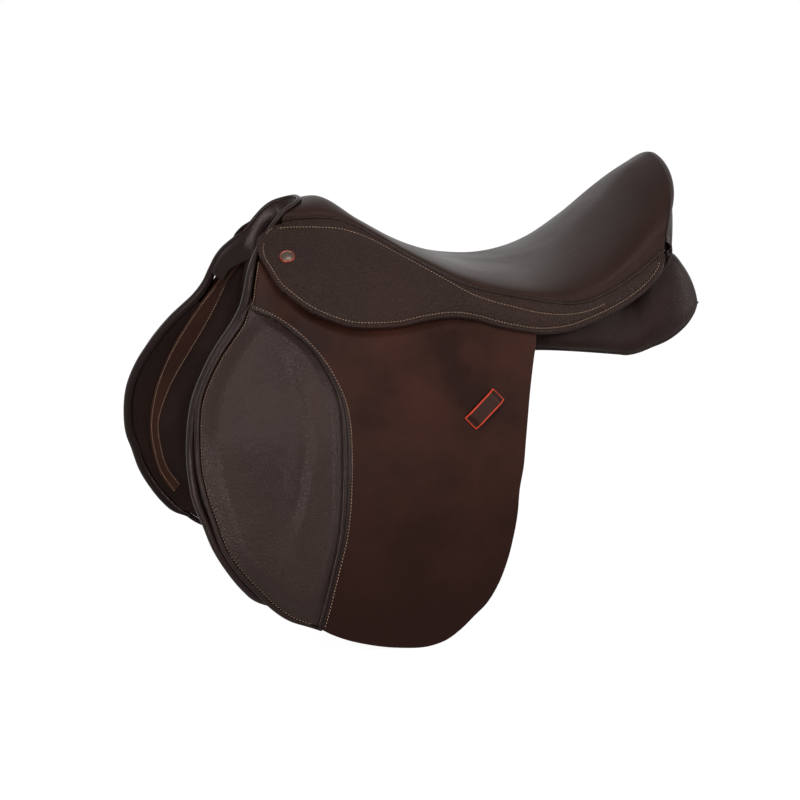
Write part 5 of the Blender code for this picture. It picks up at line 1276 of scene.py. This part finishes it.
class SADDLE_OT_fittings(bpy.types.Operator):
    """Saddle nails and keepers"""
    bl_idname = "saddle.fittings"
    bl_label = "Nails and keepers"

    def execute(self, context):
        self.nails(context.scene.saddle_sizes)
        self.keepers()
        return {"FINISHED"}

    def nails(self, sizes):
        """Domed head with a raised ring: a profile of radius and height turned about the drape's normal."""
        place = np.array([NAIL_PLACE])
        out = outward(place)[0]
        seat = hung(place, float(skirt_room(*NAIL_PLACE)) + sizes.skirt_leather)[0]
        side = np.cross(out, (0.0, 0.0, 1.0))
        side /= np.linalg.norm(side)
        up = np.cross(side, out)
        profile = curve(NAIL_PROFILE, 40)
        turn = np.linspace(0.0, 2 * math.pi, 48, endpoint=False)[None, :, None]
        rings = (seat + profile[:, 1, None, None] * out
                 + profile[:, 0, None, None] * (np.cos(turn) * side + np.sin(turn) * up))
        middle = np.repeat(smooth((NAIL_RING - profile[:, 0]) / 0.0004), 48)
        both_sides("nail", rings.reshape(-1, 3), closed_tube(40, 48), finish("nail"),
                   placed(on_body("saddle"), "nail_copper", "saddle_nail_{}"), middle)

    def keepers(self):
        """Slanting loop: a rounded strip raised over its middle, its long edges painted."""
        ends = hung(np.array([KEEPER_FRONT, KEEPER_REAR]))
        along = ends[1] - ends[0]
        span = np.linalg.norm(along)
        along /= span
        low = hung(np.array([[KEEPER_FRONT[0] + 0.004, KEEPER_FRONT[1] - 0.005]]))[0]
        out = np.cross(along, ends[0] - low)
        out /= np.linalg.norm(out)
        up = np.cross(out, along)
        s = np.linspace(-1.0, 1.0, 60)
        across = np.linspace(-1.0, 1.0, 22)
        flat = ends.mean(axis=0) + (s * span / 2)[:, None, None] * along
        rise = KEEPER_RISE * smooth((1 - np.abs(s)) / 0.30)
        wide = (across * KEEPER_HALF_WIDTH)[None, :, None] * up
        outer, inner = (flat + (rise + thick + 0.0004)[:, None, None] * out + wide
                        for thick in (KEEPER_THICKNESS, 0.0))
        points, parts = shell(outer, inner, 5)
        painted = np.tile(smooth((np.abs(across) - 0.93) / 0.06), 60)
        mark = np.concatenate([painted, painted, np.ones(len(points) - 2 * len(painted))])
        both_sides("keeper_loop", points, parts, finish("keeper"),
                   placed(on_body("flap_{}_body"), "keeper_leather", "keeper_{}"), mark)


class SADDLE_OT_carried(bpy.types.Operator):
    """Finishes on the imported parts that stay: tree, foam, webs, girth straps, guards and stirrup bars"""
    bl_idname = "saddle.carried"
    bl_label = "Tree, straps and bars"

    def execute(self, context):
        finishes = {"tree": "tree", "seat_foam": "foam", "seat_webbing": "webbing", "girth_web": "webbing",
                    "girth_strap": "strap", "buckle_guard": "strap", "stirrup_bar": "steel",
                    "bar_catch": "steel", "catch_pin": "steel", "gullet_strip": "panel"}
        rounding = {"girth_strap": 0.0010, "buckle_guard": 0.0010, "stirrup_bar": 0.0009, "bar_catch": 0.0005}
        for name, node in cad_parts.items():
            key = next((k for k in finishes if name.startswith(k)), None)
            if key is None or node.hide_render:
                continue
            node.data.materials.clear()
            node.data.materials.append(finish(finishes[key]))
            if key in rounding:
                weld = node.modifiers.new("weld", "WELD")
                weld.merge_threshold = 0.00001
                bevel = node.modifiers.new("rounding", "BEVEL")
                bevel.width, bevel.segments, bevel.limit_method = rounding[key], 3, "ANGLE"
        return {"FINISHED"}


class SADDLE_OT_stage(bpy.types.Operator):
    """Pale floor, white surroundings, four soft lamps and the camera"""
    bl_idname = "saddle.stage"
    bl_label = "Stage"

    def execute(self, context):
        scene = context.scene
        side = np.linspace(-FLOOR_REACH, FLOOR_REACH, 5)
        floor_z = np.full((5, 5), CAD_BOX[0][2] - FLOOR_GAP)
        grid = np.stack(np.meshgrid(side, side, indexing="ij") + [floor_z], axis=-1)
        mesh = bpy.data.meshes.new("floor")
        mesh.from_pydata(grid.reshape(-1, 3).tolist(), [], quads(np.arange(25).reshape(5, 5)).tolist())
        floor = bpy.data.objects.new("floor", mesh)
        scene.collection.objects.link(floor)
        mesh.materials.append(self.pale())
        self.surroundings(scene)
        for lamp in LAMPS:
            self.lamp(*lamp)
        camera = bpy.data.objects.new("camera", bpy.data.cameras.new("camera"))
        scene.collection.objects.link(camera)
        camera.data.lens = CAMERA_LENS
        back = Vector(CAMERA_BACK).normalized()
        camera.location = Vector(CAMERA_TARGET) + back * CAMERA_DISTANCE
        camera.rotation_mode = "QUATERNION"
        camera.rotation_quaternion = (-back).to_track_quat("-Z", "Y")
        scene.camera = camera
        scene.view_settings.view_transform = "Standard"
        return {"FINISHED"}

    def pale(self):
        """Floor: white where it is seen directly, dimmed only by the object's shadow."""
        made = bpy.data.materials.new("pale_floor")
        tree, nodes, shader = nodes_of(made)
        shader.inputs["Base Color"].default_value = (0.80, 0.80, 0.80, 1.0)
        shader.inputs["Roughness"].default_value = 0.9
        shader.inputs["Specular IOR Level"].default_value = 0.0
        glow = nodes.new("ShaderNodeEmission")
        glow.inputs["Strength"].default_value = FLOOR_GLOW
        path = nodes.new("ShaderNodeLightPath")
        share = nodes.new("ShaderNodeMath")
        share.operation = "MULTIPLY"
        share.inputs[1].default_value = FLOOR_GLOW_SHARE
        mix = nodes.new("ShaderNodeMixShader")
        tree.links.new(path.outputs["Is Camera Ray"], share.inputs[0])
        tree.links.new(share.outputs[0], mix.inputs["Fac"])
        tree.links.new(shader.outputs[0], mix.inputs[1])
        tree.links.new(glow.outputs[0], mix.inputs[2])
        tree.links.new(mix.outputs[0], nodes["Material Output"].inputs["Surface"])
        return made

    def surroundings(self, scene):
        """World: plain grey light on the object, white to the camera and in reflections."""
        world = bpy.data.worlds.new("surroundings")
        scene.world = world
        world.use_nodes = True
        tree = world.node_tree
        nodes, links = tree.nodes, tree.links
        light, white = nodes["Background"], nodes.new("ShaderNodeBackground")
        for shine, strength in ((light, DAYLIGHT), (white, 1.0)):
            shine.inputs["Color"].default_value = (1.0, 1.0, 1.0, 1.0)
            shine.inputs["Strength"].default_value = strength
        path = nodes.new("ShaderNodeLightPath")
        seen = path.outputs["Is Camera Ray"]
        for ray in ("Is Glossy Ray", "Is Transmission Ray"):
            most = nodes.new("ShaderNodeMath")
            most.operation = "MAXIMUM"
            links.new(seen, most.inputs[0])
            links.new(path.outputs[ray], most.inputs[1])
            seen = most.outputs[0]
        mix = nodes.new("ShaderNodeMixShader")
        links.new(seen, mix.inputs["Fac"])
        links.new(light.outputs[0], mix.inputs[1])
        links.new(white.outputs[0], mix.inputs[2])
        links.new(mix.outputs[0], nodes["World Output"].inputs["Surface"])

    def lamp(self, name, place, target, wide, high, power):
        """A soft rectangular lamp that faces the target."""
        data = bpy.data.lights.new(name, "AREA")
        data.shape, data.size, data.size_y, data.energy = "RECTANGLE", wide, high, power
        lamp = bpy.data.objects.new(name, data)
        bpy.context.scene.collection.objects.link(lamp)
        lamp.location = place
        lamp.rotation_mode = "QUATERNION"
        lamp.rotation_quaternion = (Vector(target) - Vector(place)).to_track_quat("-Z", "Y")


STEPS = ["stage", "seat", "skirts", "flaps", "knee_pads", "front_roll", "sweat_flaps", "panel", "cantle",
         "fittings", "carried"]


class SADDLE_PT_panel(bpy.types.Panel):
    """Sizes, colours and building steps"""
    bl_idname = "SADDLE_PT_panel"
    bl_label = "Saddle"
    bl_space_type = "VIEW_3D"
    bl_region_type = "UI"
    bl_category = "Saddle"

    def draw(self, context):
        for group in (context.scene.saddle_sizes, context.scene.saddle_colours):
            for key in group.__annotations__:
                self.layout.prop(group, key)
        for step in STEPS:
            self.layout.operator("saddle." + step)


CLASSES = [SaddleSizes, SaddleColours, SADDLE_OT_seat, SADDLE_OT_skirts, SADDLE_OT_flaps, SADDLE_OT_knee_pads,
           SADDLE_OT_front_roll, SADDLE_OT_sweat_flaps, SADDLE_OT_panel, SADDLE_OT_cantle, SADDLE_OT_fittings,
           SADDLE_OT_carried, SADDLE_OT_stage, SADDLE_PT_panel]


def register():
    """Make the classes and the scene's settings known."""
    for item in CLASSES:
        bpy.utils.register_class(item)
    bpy.types.Scene.saddle_sizes = bpy.props.PointerProperty(type=SaddleSizes)
    bpy.types.Scene.saddle_colours = bpy.props.PointerProperty(type=SaddleColours)


def unregister():
    """Take them out again."""
    del bpy.types.Scene.saddle_colours
    del bpy.types.Scene.saddle_sizes
    for item in reversed(CLASSES):
        bpy.utils.unregister_class(item)


def main():
    """Build the saddle step by step."""
    register()
    for step in STEPS:
        getattr(bpy.ops.saddle, step)()


if __name__ == "__main__":
    main()
